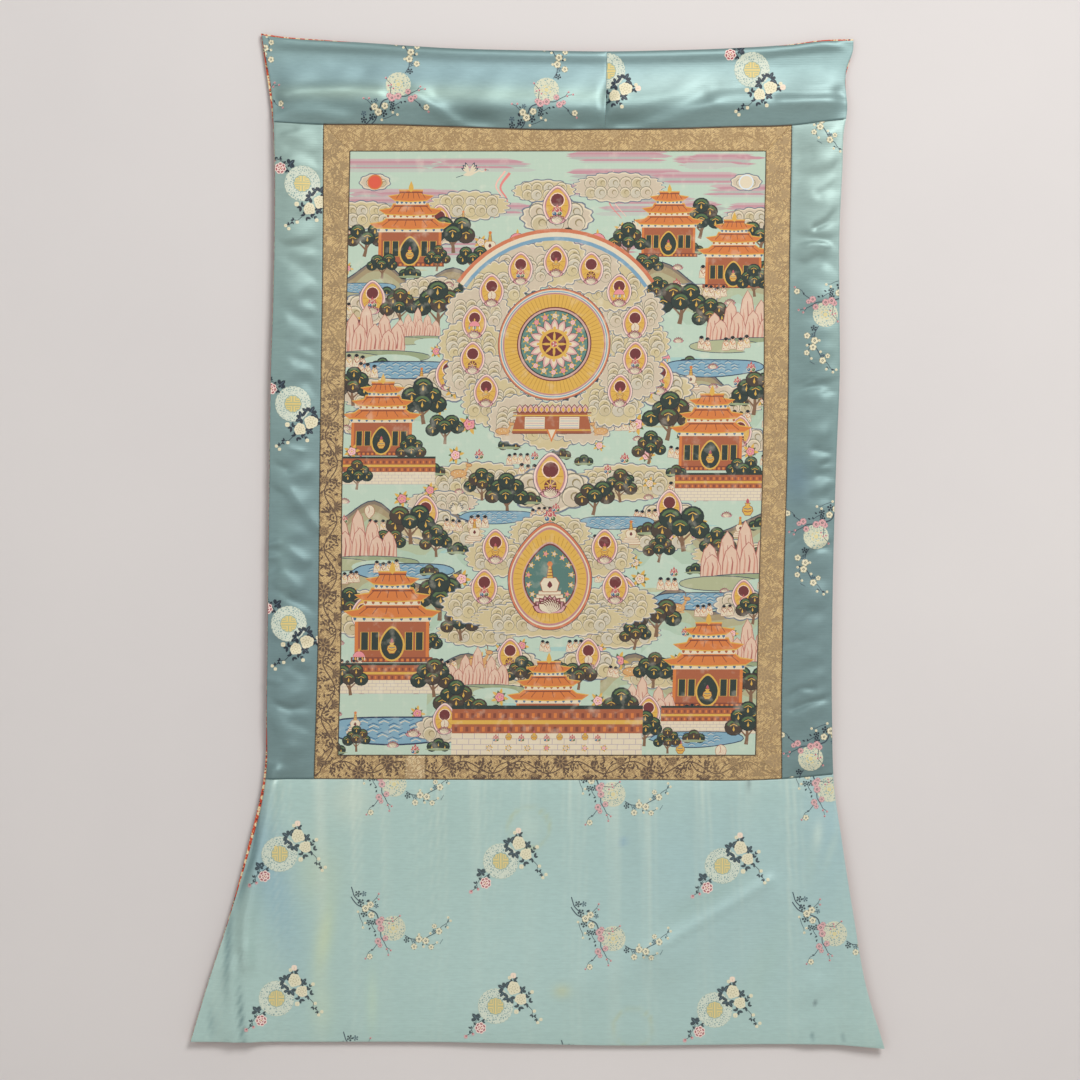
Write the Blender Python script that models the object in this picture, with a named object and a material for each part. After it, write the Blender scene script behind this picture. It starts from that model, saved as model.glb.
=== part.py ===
"""Thangka scroll painting: a painted canvas framed in brocade and mounted in figured satin.

The pieces lie in two layers. The lining hangs nearest the wall, and all the others are sewn
edge to edge in front of it. Metres, +Z up. The origin is the middle of the top edge, at the
wall, and the cloth faces -Y. Tables are in millimetres: x to the right, z up.
"""

from collections import namedtuple
from math import exp, hypot, inf, log1p, radians

import bmesh
import bpy

MM = 0.001

# Thicknesses and gaps of the layers
LINING_THICK = 1.0
FRONT_THICK = 1.2
LAYER_GAP = 0.7
HALF_SEAM = 0.2

# How full the side panels and the skirt are between their seams, and how soon they fill out
PANEL_FULLNESS = 2.6
SKIRT_FULLNESS = 0.9
OUTER_ROUNDING = 11.0
INNER_ROUNDING = 15.0
END_ROUNDING = 8.0
SKIRT_ROUNDING = 9.0
HEAD_ROUNDING = 14.0
FOLD_ROUNDING = 3.0

# The seam in the top panel: how far it draws the bulge in, and to what distance
JOIN_DRAW = 0.5
JOIN_WIDTH = 5.0

# A trough stops this far behind the cloth's own level, and how sharply it stops
DEEPEST = 0.25
STOP = 5.0

# How far out from the front's left edge the lining's first column stands
LINING_LIP = 3.6

# Rounds that settle a point between four curved edges
WARP_ROUNDS = 4

# How the sheets are divided: places across are parts of the width
WIDE_COLUMNS = 15
LEFT_STEPS = (0.008, 0.016, 0.025, 0.036, 0.049, 0.082, 0.1)
RIGHT_STEPS = (0.015, 0.036, 0.09, 0.115)
SKIRT_ROWS = 14
LINING_ROWS = 20
CURL_ROWS = 10
CURL_START = 0.63
SKIRT_START = 0.7365

# Heights down the cloth, with the two outer edges at each
Section = namedtuple("Section", "z left right")
SECTIONS = (
    Section(20, -325.6, 325.6),
    Section(0, -322.9, 325.2),
    Section(-19, -320.2, 318.6),
    Section(-73, -312.7, 317.8),
    Section(-83, -311.9, 315.7),
    Section(-130, -310.2, 313.2),
    Section(-208, -310.6, 309.7),
    Section(-272, -311.9, 309.8),
    Section(-356, -314.7, 310.2),
    Section(-439, -315.7, 306.9),
    Section(-582, -317.6, 302.7),
    Section(-714, -319.2, 301.6),
    Section(-788, -320.9, 303.2),
    Section(-800, -322.3, 303.8),
    Section(-870, -338.4, 312.9),
    Section(-953, -360.8, 325.9),
    Section(-1025, -383.9, 338.6),
    Section(-1096, -405.2, 359.6),
)

# Heights down the middle, with the outer and inner edges of the brocade frame at each
Frame = namedtuple("Frame", "z outer_left inner_left inner_right outer_right")
FRAME = (
    Frame(-81, -256.5, -227.2, 229.8, 257.7),
    Frame(-110, -256.6, -227.5, 229.6, 257.4),
    Frame(-208, -257.0, -229.6, 227.8, 255.6),
    Frame(-367, -259.2, -233.2, 227.4, 253.9),
    Frame(-461, -260.5, -236.0, 225.9, 252.4),
    Frame(-582, -261.6, -236.9, 222.2, 249.0),
    Frame(-670, -262.9, -237.8, 220.3, 247.2),
    Frame(-721, -264.3, -239.3, 219.2, 246.4),
    Frame(-774, -266.0, -240.7, 218.1, 246.8),
    Frame(-800, -266.9, -241.3, 217.5, 247.0),
)

# Places across the cloth, with the top edge and the seam under the top panel at each
Head = namedtuple("Head", "x edge seam")
HEAD = (
    Head(-326, 19.6, -77.0),
    Head(-311, 17.1, -78.1),
    Head(-256, 12.2, -80.9),
    Head(-200, 8.3, -80.9),
    Head(-118, 2.8, -83.4),
    Head(-8, 0.0, -86.9),
    Head(54, -0.8, -86.6),
    Head(114, 0.3, -86.0),
    Head(199, 3.4, -83.4),
    Head(257, 7.4, -81.8),
    Head(291, 12.0, -77.9),
    Head(326, 13.2, -74.2),
)

# Places across the cloth, with the seam over the skirt and the skirt's hem at each
Foot = namedtuple("Foot", "x seam hem")
FOOT = (
    Foot(-405, -799.6, -1088.7),
    Foot(-322, -799.6, -1089.0),
    Foot(-85, -800.7, -1089.8),
    Foot(62, -800.9, -1093.1),
    Foot(91, -800.9, -1093.1),
    Foot(246, -799.8, -1091.7),
    Foot(304, -794.6, -1092.0),
    Foot(360, -790.0, -1096.2),
)

PICTURE_TOP = -110.3
PICTURE_BOTTOM = -774.0
TOP_JOIN = ((-87.0, 52.7), (0.0, 54.8))
INSERT_LEFT = -166.9
INSERT_RIGHT = -145.0

# How far the lining shows beside the satin's left edge: everywhere, then where it shows more
# (a height, the reach up and down, and the width added there)
LINING_SHOWS = 0.45
Lip = namedtuple("Lip", "z reach extra")
LINING_LIPS = (Lip(-34, 32, 2.4), Lip(-845, 72, 3.1))

# How far it shows above the satin at the two top corners
CORNER_SHOWS = 1.7

# Parts of the top panel's length, with how far it stands off the lining at each: the doubled
# band under the edge, then the bulge over the seam
Bulge = namedtuple("Bulge", "part rise")
HEAD_PROFILE = (
    Bulge(0.0, 0.0),
    Bulge(0.035, 1.9),
    Bulge(0.17, 0.0),
    Bulge(0.34, 1.5),
    Bulge(0.5, 4.0),
    Bulge(0.64, 7.4),
    Bulge(0.73, 8.2),
    Bulge(0.86, 4.6),
    Bulge(1.0, 0.0),
)

# A soft fold, or with a negative rise a trough, along a line of points
Fold = namedtuple("Fold", "path width rise")

# Folds that raise both layers away from the wall
SWELLS = (
    Fold(((-309, -792), (-317, -845), (-329, -905), (-340, -955), (-342, -1000)), 9.5, 6.0),
    Fold(((-352, -1015), (-346, -1092)), 16, 4.2),
    Fold(((-340, -850), (-396, -1080)), 60, 3.6),
    Fold(((-312, -110), (-318, -730)), 52, 5.5),
    Fold(((312, -110), (303, -730)), 52, 5.5),
    Fold(((318, -870), (352, -1080)), 50, 5.0),
    Fold(((224, -924), (119, -994)), 26, 2.6),
    Fold(((119, -994), (28, -1029)), 24, 2.0),
    Fold(((286, -1030), (280, -1094)), 15, 2.6),
    Fold(((-20, -990), (-60, -1090)), 60, 2.4),
    Fold(((-60, -20), (60, -30)), 120, 3.0),
)

# The drawn folds of the front layer alone
FOLDS = (
    # top panel
    Fold(((-300, -50), (-262, -44), (-228, -43), (-196, -46)), 10, 2.1),
    Fold(((-316, -62), (-287, -57), (-263, -56), (-232, -60)), 11, -1.9),
    Fold(((-158, -48), (-140, -58), (-120, -74), (-112, -82)), 8, 1.9),
    Fold(((-132, -54), (-114, -60), (-80, -80)), 14, -2.5),
    Fold(((58, -48), (40, -62), (26, -80)), 11, -1.9),
    Fold(((160, -50), (113, -66), (71, -80)), 12, -2.3),
    Fold(((240, -47), (280, -48), (317, -46)), 8, -1.4),
    # left side panel
    Fold(((-312, -215), (-298, -216), (-283, -215), (-257, -211)), 8, -2.8),
    Fold(((-312, -223), (-300, -221)), 8, -1.2),
    Fold(((-294, -231), (-260, -246)), 11, -1.8),
    Fold(((-274, -272), (-258, -278)), 10, -1.4),
    Fold(((-287, -292), (-258, -303)), 11, -1.5),
    Fold(((-283, -341), (-260, -348)), 8, -1.4),
    Fold(((-273, -365), (-260, -378)), 8, -1.4),
    Fold(((-305, -469), (-276, -463)), 12, 1.5),
    Fold(((-292, -487), (-263, -523)), 8, 1.8),
    Fold(((-294, -601), (-268, -612)), 8, -1.7),
    Fold(((-293, -674), (-279, -683)), 8, -1.4),
    Fold(((-319, -714), (-293, -724), (-270, -720)), 8, -1.8),
    Fold(((-293, -550), (-276, -561)), 8, 1.4),
    Fold(((-300, -575), (-284, -590)), 8, 1.4),
    Fold(((-314, -592), (-298, -597)), 8, -1.1),
    # right side panel
    Fold(((258, -139), (284, -136), (310, -130)), 10, -1.5),
    Fold(((309, -148), (288, -158)), 8, -1.1),
    Fold(((309, -179), (298, -188), (284, -195)), 8, -2.2),
    Fold(((255, -208), (274, -205), (292, -208), (310, -211)), 8, -2.4),
    Fold(((286, -228), (309, -236)), 8, -1.8),
    Fold(((254, -373), (274, -370), (289, -367), (310, -369)), 8, -2.5),
    Fold(((283, -439), (298, -442)), 8, -1.1),
    Fold(((292, -455), (309, -448)), 8, -1.2),
    Fold(((280, -490), (307, -489)), 10, -1.5),
    Fold(((252, -544), (265, -538)), 8, -1.2),
    Fold(((272, -557), (283, -548), (305, -544)), 8, -1.8),
    Fold(((248, -716), (256, -709), (267, -700), (280, -700)), 8, -1.5),
    Fold(((248, -720), (260, -724), (274, -717), (300, -710)), 8, -1.8),
    # skirt
    Fold(((-311, -806), (-318, -845), (-330, -905), (-341, -955), (-343, -990)), 8, 1.6),
    Fold(((-356, -985), (-355, -1040), (-353, -1089)), 8, 1.7),
    Fold(((-350, -990), (-348, -1043), (-346, -1089)), 8, -2.1),
    Fold(((-341, -985), (-340, -1036), (-337, -1089)), 10, 1.9),
    Fold(((-381, -1052), (-377, -1081)), 8, -1.2),
    Fold(((98, -994), (123, -977), (178, -945), (233, -912)), 8, 1.9),
)

# A row for each kind of cloth: its colour and how rough its surface is
Cloth = namedtuple("Cloth", "red green blue roughness")
CLOTHS = {
    "satin": Cloth(0.17, 0.30, 0.31, 0.42),
    "faded_satin": Cloth(0.33, 0.51, 0.49, 0.46),
    "brocade": Cloth(0.46, 0.31, 0.14, 0.62),
    "pale_brocade": Cloth(0.56, 0.42, 0.22, 0.62),
    "canvas": Cloth(0.47, 0.57, 0.42, 0.74),
    "printed_cotton": Cloth(0.62, 0.13, 0.07, 0.80),
}


def curve(knots, values):
    """A smooth function through the values at the rising knots, straight beyond its ends."""
    count = len(knots)
    secants = [
        (values[i + 1] - values[i]) / (knots[i + 1] - knots[i]) for i in range(count - 1)
    ]
    slopes = [secants[0]]
    for i in range(1, count - 1):
        before = knots[i] - knots[i - 1]
        after = knots[i + 1] - knots[i]
        slopes.append((secants[i - 1] * after + secants[i] * before) / (before + after))
    slopes.append(secants[-1])

    def value(at):
        if at <= knots[0]:
            return values[0] + slopes[0] * (at - knots[0])
        if at >= knots[-1]:
            return values[-1] + slopes[-1] * (at - knots[-1])
        i = max(k for k in range(count - 1) if knots[k] <= at)
        span = knots[i + 1] - knots[i]
        t = (at - knots[i]) / span
        start = values[i] * (1 + 2 * t) * (1 - t) ** 2 + span * slopes[i] * t * (1 - t) ** 2
        end = values[i + 1] * t * t * (3 - 2 * t) - span * slopes[i + 1] * t * t * (1 - t)
        return start + end

    return value


def down(table, column):
    """An edge that runs down the cloth: x as a function of z."""
    rows = sorted(table, key=lambda row: row.z)
    return curve([row.z for row in rows], [getattr(row, column) for row in rows])


def across(table, column):
    """An edge that runs across the cloth: z as a function of x."""
    return curve([row.x for row in table], [getattr(row, column) for row in table])


def shifted(line, by):
    """The same edge, moved by so many millimetres."""
    return lambda at: line(at) + by


def level(value):
    """A straight edge at one height or one place."""
    return lambda at: value


LEFT = down(SECTIONS, "left")
RIGHT = down(SECTIONS, "right")
FRAME_LEFT = down(FRAME, "outer_left")
FRAME_RIGHT = down(FRAME, "outer_right")
PICTURE_LEFT = down(FRAME, "inner_left")
PICTURE_RIGHT = down(FRAME, "inner_right")
TOP = across(HEAD, "edge")
TOP_SEAM = across(HEAD, "seam")
SKIRT_SEAM = across(FOOT, "seam")
HEM = across(FOOT, "hem")
JOIN = curve(*zip(*TOP_JOIN))
HEAD_RISE = curve(*zip(*HEAD_PROFILE))


def frame_corner(outer, seam):
    """The outer corner of the frame, where its side meets a seam."""
    x = outer(PICTURE_TOP)
    for _ in range(WARP_ROUNDS):
        x = outer(seam(x))
    return x, seam(x)


TOP_LEFT = (frame_corner(FRAME_LEFT, TOP_SEAM), (PICTURE_LEFT(PICTURE_TOP), PICTURE_TOP))
TOP_RIGHT = (frame_corner(FRAME_RIGHT, TOP_SEAM), (PICTURE_RIGHT(PICTURE_TOP), PICTURE_TOP))
FOOT_LEFT = (
    frame_corner(FRAME_LEFT, SKIRT_SEAM),
    (PICTURE_LEFT(PICTURE_BOTTOM), PICTURE_BOTTOM),
)
FOOT_RIGHT = (
    frame_corner(FRAME_RIGHT, SKIRT_SEAM),
    (PICTURE_RIGHT(PICTURE_BOTTOM), PICTURE_BOTTOM),
)


def mitre_down(corner):
    """A mitre's line, x as a function of z."""
    (x0, z0), (x1, z1) = sorted(corner, key=lambda point: point[1])
    return curve([z0, z1], [x0, x1])


def mitre_across(corner):
    """A mitre's line, z as a function of x."""
    (x0, z0), (x1, z1) = sorted(corner)
    return curve([x0, x1], [z0, z1])


def fold_rise(fold, x, z):
    """How far a fold lifts the cloth at a point."""
    nearest = inf
    for (x0, z0), (x1, z1) in zip(fold.path, fold.path[1:]):
        along_x = x1 - x0
        along_z = z1 - z0
        part = ((x - x0) * along_x + (z - z0) * along_z) / (along_x**2 + along_z**2)
        part = min(1.0, max(0.0, part))
        nearest = min(nearest, hypot(x - x0 - part * along_x, z - z0 - part * along_z))
    return fold.rise * exp(-((nearest / fold.width) ** 2))


def swell(x, z):
    """How far the hanging cloth stands off the wall."""
    return sum(fold_rise(fold, x, z) for fold in SWELLS)


def rounding(away, reach):
    """How far cloth has filled out, from 0 at a seam to 1, at a distance from it."""
    return 1 - exp(-((max(away, 0.0) / reach) ** 2))


def front_left(z):
    """The left edge of the front layer."""
    extra = sum(lip.extra * exp(-(((z - lip.z) / lip.reach) ** 2)) for lip in LINING_LIPS)
    return LEFT(z) + LINING_SHOWS + extra


def front_top(x):
    """The top edge of the front layer, lowest at the corners, where the lining shows."""
    away = min(1.0, max(0.0, (x + 226) / -96, (x - 244) / 80))
    return TOP(x) - HALF_SEAM - CORNER_SHOWS * away**0.5


def head_fullness(x, z):
    """How far the top panel stands off the lining."""
    part = min(1.0, max(0.0, (TOP(x) - z) / (TOP(x) - TOP_SEAM(x))))
    ends = rounding(min(x - front_left(z), RIGHT(z) - x), HEAD_ROUNDING)
    join = 1 - JOIN_DRAW * exp(-(((x - JOIN(z)) / JOIN_WIDTH) ** 2))
    return ends * join * HEAD_RISE(part)


def side_fullness(x, z):
    """How far a side panel stands off the lining."""
    outer = min(x - front_left(z), RIGHT(z) - x)
    inner = max(FRAME_LEFT(z) - x, x - FRAME_RIGHT(z))
    ends = min(TOP_SEAM(x) - z, z - SKIRT_SEAM(x))
    full = rounding(outer, OUTER_ROUNDING) * rounding(inner, INNER_ROUNDING)
    return PANEL_FULLNESS * full * rounding(ends, END_ROUNDING)


def skirt_fullness(x, z):
    """How far the skirt stands off the lining."""
    sides = min(x - front_left(z), RIGHT(z) - x)
    ends = min(SKIRT_SEAM(x) - z, z - HEM(x))
    return SKIRT_FULLNESS * rounding(min(sides, ends), SKIRT_ROUNDING)


def puckers(x, z):
    """How far the fullness and the folds of the front layer lift it off the lining."""
    if z > TOP_SEAM(x):
        rise = head_fullness(x, z)
    elif z < SKIRT_SEAM(x):
        rise = skirt_fullness(x, z)
    elif FRAME_LEFT(z) <= x <= FRAME_RIGHT(z):
        return 0.0
    else:
        rise = side_fullness(x, z)
    away = min(abs(z - TOP_SEAM(x)), abs(z - SKIRT_SEAM(x)))
    rise += rounding(away, FOLD_ROUNDING) * sum(fold_rise(fold, x, z) for fold in FOLDS)
    return log1p(exp(STOP * (rise + DEEPEST))) / STOP - DEEPEST


def lining_face(x, z):
    """The lining's face, as a distance from the wall."""
    return LINING_THICK + swell(x, z)


def front_face(x, z):
    """The front layer's face, as a distance from the wall."""
    return lining_face(x, z) + LAYER_GAP + FRONT_THICK + puckers(x, z)


def even(count):
    """Evenly spaced places from 0 to 1."""
    return [i / count for i in range(count + 1)]


def skirt_columns():
    """Places across the skirt, closer together beside its curled and folded edges."""
    right = {1 - place for place in RIGHT_STEPS}
    return sorted(set(even(WIDE_COLUMNS)) | set(LEFT_STEPS) | right)


def sheet(name, cloth, edges, places, face, thick):
    """A closed sheet between its left, right, top and bottom edges."""
    left, right, top, bottom = edges
    columns, rows = places
    bm = bmesh.new()
    bmesh.ops.create_grid(
        bm, x_segments=len(columns) - 1, y_segments=len(rows) - 1, size=0.5
    )
    for vert in bm.verts:
        across_part = columns[round((vert.co.x + 0.5) * (len(columns) - 1))]
        down_part = rows[round((0.5 - vert.co.y) * (len(rows) - 1))]
        z = top(0) * (1 - down_part) + bottom(0) * down_part
        for _ in range(WARP_ROUNDS):
            x = left(z) * (1 - across_part) + right(z) * across_part
            z = top(x) * (1 - down_part) + bottom(x) * down_part
        vert.co = (x * MM, -face(x, z) * MM, z * MM)
    back = bmesh.ops.extrude_face_region(bm, geom=bm.faces[:], use_keep_orig=True)
    moved = [item for item in back["geom"] if isinstance(item, bmesh.types.BMVert)]
    bmesh.ops.translate(bm, verts=moved, vec=(0, thick * MM, 0))
    bmesh.ops.recalc_face_normals(bm, faces=bm.faces[:])
    mesh = bpy.data.meshes.new(name)
    bm.to_mesh(mesh)
    bm.free()
    mesh.shade_smooth()
    mesh.set_sharp_from_angle(angle=radians(50))
    mesh.materials.append(MATERIALS[cloth])
    piece = bpy.data.objects.new(name, mesh)
    PARTS.objects.link(piece)
    return piece


def front_sheet(name, cloth, edges, places):
    """A sheet of the front layer, which stands in front of the lining."""
    return sheet(name, cloth, edges, places, front_face, FRONT_THICK)


def cloth_material(name, cloth):
    """A plain woven surface of one colour."""
    material = bpy.data.materials.new(name)
    material.use_nodes = True
    shader = material.node_tree.nodes["Principled BSDF"]
    shader.inputs["Base Color"].default_value = (cloth.red, cloth.green, cloth.blue, 1)
    shader.inputs["Roughness"].default_value = cloth.roughness
    shader.inputs["Metallic"].default_value = 0
    material.diffuse_color = (cloth.red, cloth.green, cloth.blue, 1)
    return material


def build_lining():
    """The printed cotton behind everything, as wide and long as the whole cloth."""
    width = RIGHT(PICTURE_BOTTOM) - LEFT(PICTURE_BOTTOM)
    lip = LINING_LIP / width
    columns = [0] + [lip + (1 - lip) * place for place in skirt_columns()]
    rows = [CURL_START * place for place in even(LINING_ROWS)[:-1]]
    rows += [CURL_START + (SKIRT_START - CURL_START) * place for place in even(CURL_ROWS)[:-1]]
    rows += [SKIRT_START + (1 - SKIRT_START) * place for place in even(SKIRT_ROWS)]
    edges = (LEFT, RIGHT, TOP, HEM)
    sheet("lining", "printed_cotton", edges, (columns, rows), lining_face, LINING_THICK)


def build_top_panel():
    """Two lengths of figured satin above the painting."""
    seam = shifted(TOP_SEAM, HALF_SEAM)
    join = (shifted(JOIN, -HALF_SEAM), shifted(JOIN, HALF_SEAM))
    rows = (0, 0.035, 0.1, 0.17, 0.26, 0.34, 0.42, 0.5, 0.58, 0.66, 0.74, 0.82, 0.9, 0.96, 1)
    panel = (front_left, join[0], front_top, seam)
    front_sheet("top_panel_left", "satin", panel, (even(34), rows))
    front_sheet("top_panel_right", "satin", (join[1], RIGHT, front_top, seam), (even(25), rows))


def build_side_panels():
    """The satin strips on either side of the brocade frame."""
    top = shifted(TOP_SEAM, -HALF_SEAM)
    bottom = shifted(SKIRT_SEAM, HALF_SEAM)
    left = (front_left, shifted(FRAME_LEFT, -HALF_SEAM), top, bottom)
    right = (shifted(FRAME_RIGHT, HALF_SEAM), RIGHT, top, bottom)
    outer_first = (0, 0.09, 0.18, 0.3, 0.5, 0.75, 1)
    front_sheet("side_panel_left", "satin", left, (outer_first, even(78)))
    front_sheet("side_panel_right", "satin", right, (even(5), even(78)))


def build_skirt():
    """The faded, flared length of satin below the painting."""
    top = shifted(SKIRT_SEAM, -HALF_SEAM)
    places = (skirt_columns(), even(SKIRT_ROWS))
    front_sheet("skirt", "faded_satin", (front_left, RIGHT, top, HEM), places)


def build_frame():
    """The brocade strips round the painting, mitred at the corners."""
    above = shifted(TOP_SEAM, -HALF_SEAM)
    below = shifted(SKIRT_SEAM, HALF_SEAM)
    outer = (shifted(FRAME_LEFT, HALF_SEAM), shifted(FRAME_RIGHT, -HALF_SEAM))
    inner = (shifted(PICTURE_LEFT, -HALF_SEAM), shifted(PICTURE_RIGHT, HALF_SEAM))
    top = (
        shifted(mitre_down(TOP_LEFT), HALF_SEAM),
        shifted(mitre_down(TOP_RIGHT), -HALF_SEAM),
        above,
        level(PICTURE_TOP + HALF_SEAM),
    )
    left = (
        outer[0],
        inner[0],
        shifted(mitre_across(TOP_LEFT), -HALF_SEAM),
        shifted(mitre_across(FOOT_LEFT), HALF_SEAM),
    )
    right = (
        inner[1],
        outer[1],
        shifted(mitre_across(TOP_RIGHT), -HALF_SEAM),
        shifted(mitre_across(FOOT_RIGHT), HALF_SEAM),
    )
    front_sheet("border_top", "brocade", top, (even(14), even(2)))
    front_sheet("border_left", "brocade", left, (even(2), even(40)))
    front_sheet("border_right", "brocade", right, (even(2), even(40)))
    lengths = (
        ("border_bottom_left", "brocade", 4, mitre_down(FOOT_LEFT), level(INSERT_LEFT)),
        ("border_bottom_insert", "pale_brocade", 2, level(INSERT_LEFT), level(INSERT_RIGHT)),
        ("border_bottom_right", "brocade", 12, level(INSERT_RIGHT), mitre_down(FOOT_RIGHT)),
    )
    for name, cloth, count, start, end in lengths:
        ends = (shifted(start, HALF_SEAM), shifted(end, -HALF_SEAM))
        edges = (*ends, level(PICTURE_BOTTOM - HALF_SEAM), below)
        front_sheet(name, cloth, edges, (even(count), even(2)))


def build_painting():
    """The painted canvas inside the brocade frame."""
    edges = (
        shifted(PICTURE_LEFT, HALF_SEAM),
        shifted(PICTURE_RIGHT, -HALF_SEAM),
        level(PICTURE_TOP - HALF_SEAM),
        level(PICTURE_BOTTOM + HALF_SEAM),
    )
    front_sheet("painting", "canvas", edges, (even(14), even(20)))


for old in list(bpy.data.objects):
    bpy.data.objects.remove(old)
PARTS = bpy.data.collections.new("Thangka")
bpy.context.scene.collection.children.link(PARTS)
MATERIALS = {name: cloth_material(name, cloth) for name, cloth in CLOTHS.items()}
build_lining()
build_top_panel()
build_side_panels()
build_skirt()
build_frame()
build_painting()
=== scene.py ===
"""The looks of a thangka scroll painting: painted canvas, brocade frame and satin mount.

Sizes and tables are in millimetres, x to the right and z up from the middle of the top edge,
and the meshes are in metres. The cloth faces -Y.
"""

import logging
import math
import random
from dataclasses import dataclass, field
from enum import Enum
from functools import partial
from typing import Any, Callable, Iterable, Sequence

import bmesh
import bpy
import numpy as np
from mathutils import Matrix, Vector
from mathutils.geometry import delaunay_2d_cdt


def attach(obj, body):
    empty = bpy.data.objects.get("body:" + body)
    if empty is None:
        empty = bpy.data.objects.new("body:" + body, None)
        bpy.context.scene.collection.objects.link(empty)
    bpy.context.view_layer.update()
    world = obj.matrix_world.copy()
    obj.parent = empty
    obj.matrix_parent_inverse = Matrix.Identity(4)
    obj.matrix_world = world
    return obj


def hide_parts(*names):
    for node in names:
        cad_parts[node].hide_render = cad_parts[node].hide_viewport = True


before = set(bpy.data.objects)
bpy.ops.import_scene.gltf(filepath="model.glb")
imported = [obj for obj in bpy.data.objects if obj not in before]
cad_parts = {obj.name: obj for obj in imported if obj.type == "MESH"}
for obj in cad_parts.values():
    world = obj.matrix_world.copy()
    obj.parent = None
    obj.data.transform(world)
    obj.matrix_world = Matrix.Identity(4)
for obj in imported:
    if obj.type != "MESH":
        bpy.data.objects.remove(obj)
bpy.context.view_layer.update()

log = logging.getLogger("thangka")

MM = 0.001
Array = np.ndarray
Edge = Callable[[Array], Array]
Surface = Callable[[Array, Array], Array]
Point = tuple[float, float]

LINING_THICK = 1.0
FRONT_THICK = 1.2
LAYER_GAP = 0.7
FOLD_DEPTH = 1.15
SEWN_GAP = 0.06
PANEL_FULLNESS = 2.6
SKIRT_FULLNESS = 0.9
SEAM_ROUNDING = 11.0
PICTURE_TOP = -110.3
PICTURE_BOTTOM = -774.0
INSERT_LEFT = -166.9
INSERT_RIGHT = -145.0


# ---------------------------------------------------------------- lines and relief


@dataclass(frozen=True)
class Line:
    """A smooth line through a few knots, straight beyond its ends.

    Args:
        knots: rising places along the line.
        values: how far to the side the line is at each knot.
    """

    knots: tuple[float, ...]
    values: tuple[float, ...]

    def slopes(self) -> Array:
        """The line's slope at each knot, from the stretches on both sides."""
        spans = np.diff(self.knots)
        secants = np.diff(self.values) / spans
        inner = (secants[:-1] * spans[1:] + secants[1:] * spans[:-1]) / (spans[1:] + spans[:-1])
        return np.concatenate([secants[:1], inner, secants[-1:]])

    def __call__(self, at: Array) -> Array:
        """The line's value at each place."""
        at = np.asarray(at, float)
        knots, values, slopes = np.array(self.knots), np.array(self.values), self.slopes()
        i = np.clip(np.searchsorted(knots, at, side="right") - 1, 0, len(knots) - 2)
        span = knots[i + 1] - knots[i]
        t = np.clip((at - knots[i]) / span, 0, 1)
        start = values[i] * (1 + 2 * t) * (1 - t) ** 2 + span * slopes[i] * t * (1 - t) ** 2
        end = values[i + 1] * t * t * (3 - 2 * t) - span * slopes[i + 1] * t * t * (1 - t)
        before = slopes[0] * np.minimum(at - knots[0], 0)
        after = slopes[-1] * np.maximum(at - knots[-1], 0)
        return start + end + before + after


def rows_of(count: int, text: str) -> list[tuple[float, ...]]:
    """The numbers of a table, so many to a row; commas only show where the rows part."""
    numbers = [float(part) for part in text.replace(",", " ").split()]
    return [tuple(numbers[i : i + count]) for i in range(0, len(numbers), count)]


def around(x: float, z: float, reach: float, degrees: float) -> Point:
    """The point so far from another, in a direction counted from the right."""
    way = math.radians(degrees)
    return x + reach * math.cos(way), z + reach * math.sin(way)


def box(left: float, foot: float, right: float, top: float) -> list[Point]:
    """The corners of an upright rectangle."""
    return [(left, foot), (right, foot), (right, top), (left, top)]


def shifted(line: Edge, by: float) -> Edge:
    """The same edge, moved by so many millimetres."""
    return lambda at: line(at) + by


def level(value: float) -> Edge:
    """A straight edge at one height or one place."""
    return lambda at: np.zeros_like(np.asarray(at, float)) + value


# Heights down the cloth, with the two outer edges at each: z, left, right
SECTIONS = rows_of(3, """
    -1096 -405.2 359.6, -1025 -383.9 338.6, -953 -360.8 325.9, -870 -338.4 312.9, -800 -322.3 303.8,
    -788 -320.9 303.2, -714 -319.2 301.6, -582 -317.6 302.7, -439 -315.7 306.9, -356 -314.7 310.2,
    -272 -311.9 309.8, -208 -310.6 309.7, -130 -310.2 313.2, -83 -311.9 315.7, -73 -312.7 317.8,
    -19 -320.2 318.6, 0 -322.9 325.2, 20 -325.6 325.6""")

# Heights down the middle, with the brocade's edges: z, outer left, inner left, inner right,
# outer right
FRAME = rows_of(5, """
    -800 -266.9 -241.3 217.5 247, -774 -266 -240.7 218.1 246.8, -721 -264.3 -239.3 219.2 246.4,
    -670 -262.9 -237.8 220.3 247.2, -582 -261.6 -236.9 222.2 249, -461 -260.5 -236 225.9 252.4,
    -367 -259.2 -233.2 227.4 253.9, -208 -257 -229.6 227.8 255.6, -110 -256.6 -227.5 229.6 257.4,
    -81 -256.5 -227.2 229.8 257.7""")

# Places across the cloth: x, the top edge, the seam under the top panel
HEAD = rows_of(3, """
    -326 19.6 -77, -311 17.1 -78.1, -256 12.2 -80.9, -200 8.3 -80.9, -118 2.8 -83.4, -8 0 -86.9,
    54 -0.8 -86.6, 114 0.3 -86, 199 3.4 -83.4, 257 7.4 -81.8, 291 12 -77.9, 326 13.2 -74.2""")

# Places across the cloth: x, the seam over the skirt, the skirt's hem
FOOT = rows_of(3, """
    -405 -799.6 -1088.7, -322 -799.6 -1089, -85 -800.7 -1089.8, 62 -800.9 -1093.1,
    91 -800.9 -1093.1, 246 -799.8 -1091.7, 304 -794.6 -1092, 360 -790 -1096.2""")

# Parts of the top panel's length, with how far it stands off the lining there
HEAD_PROFILE = rows_of(2, """
    0 0, 0.035 1.9, 0.17 0, 0.34 1.5, 0.5 4, 0.64 7.4, 0.73 8.2, 0.86 4.6, 1 0""")


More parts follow.
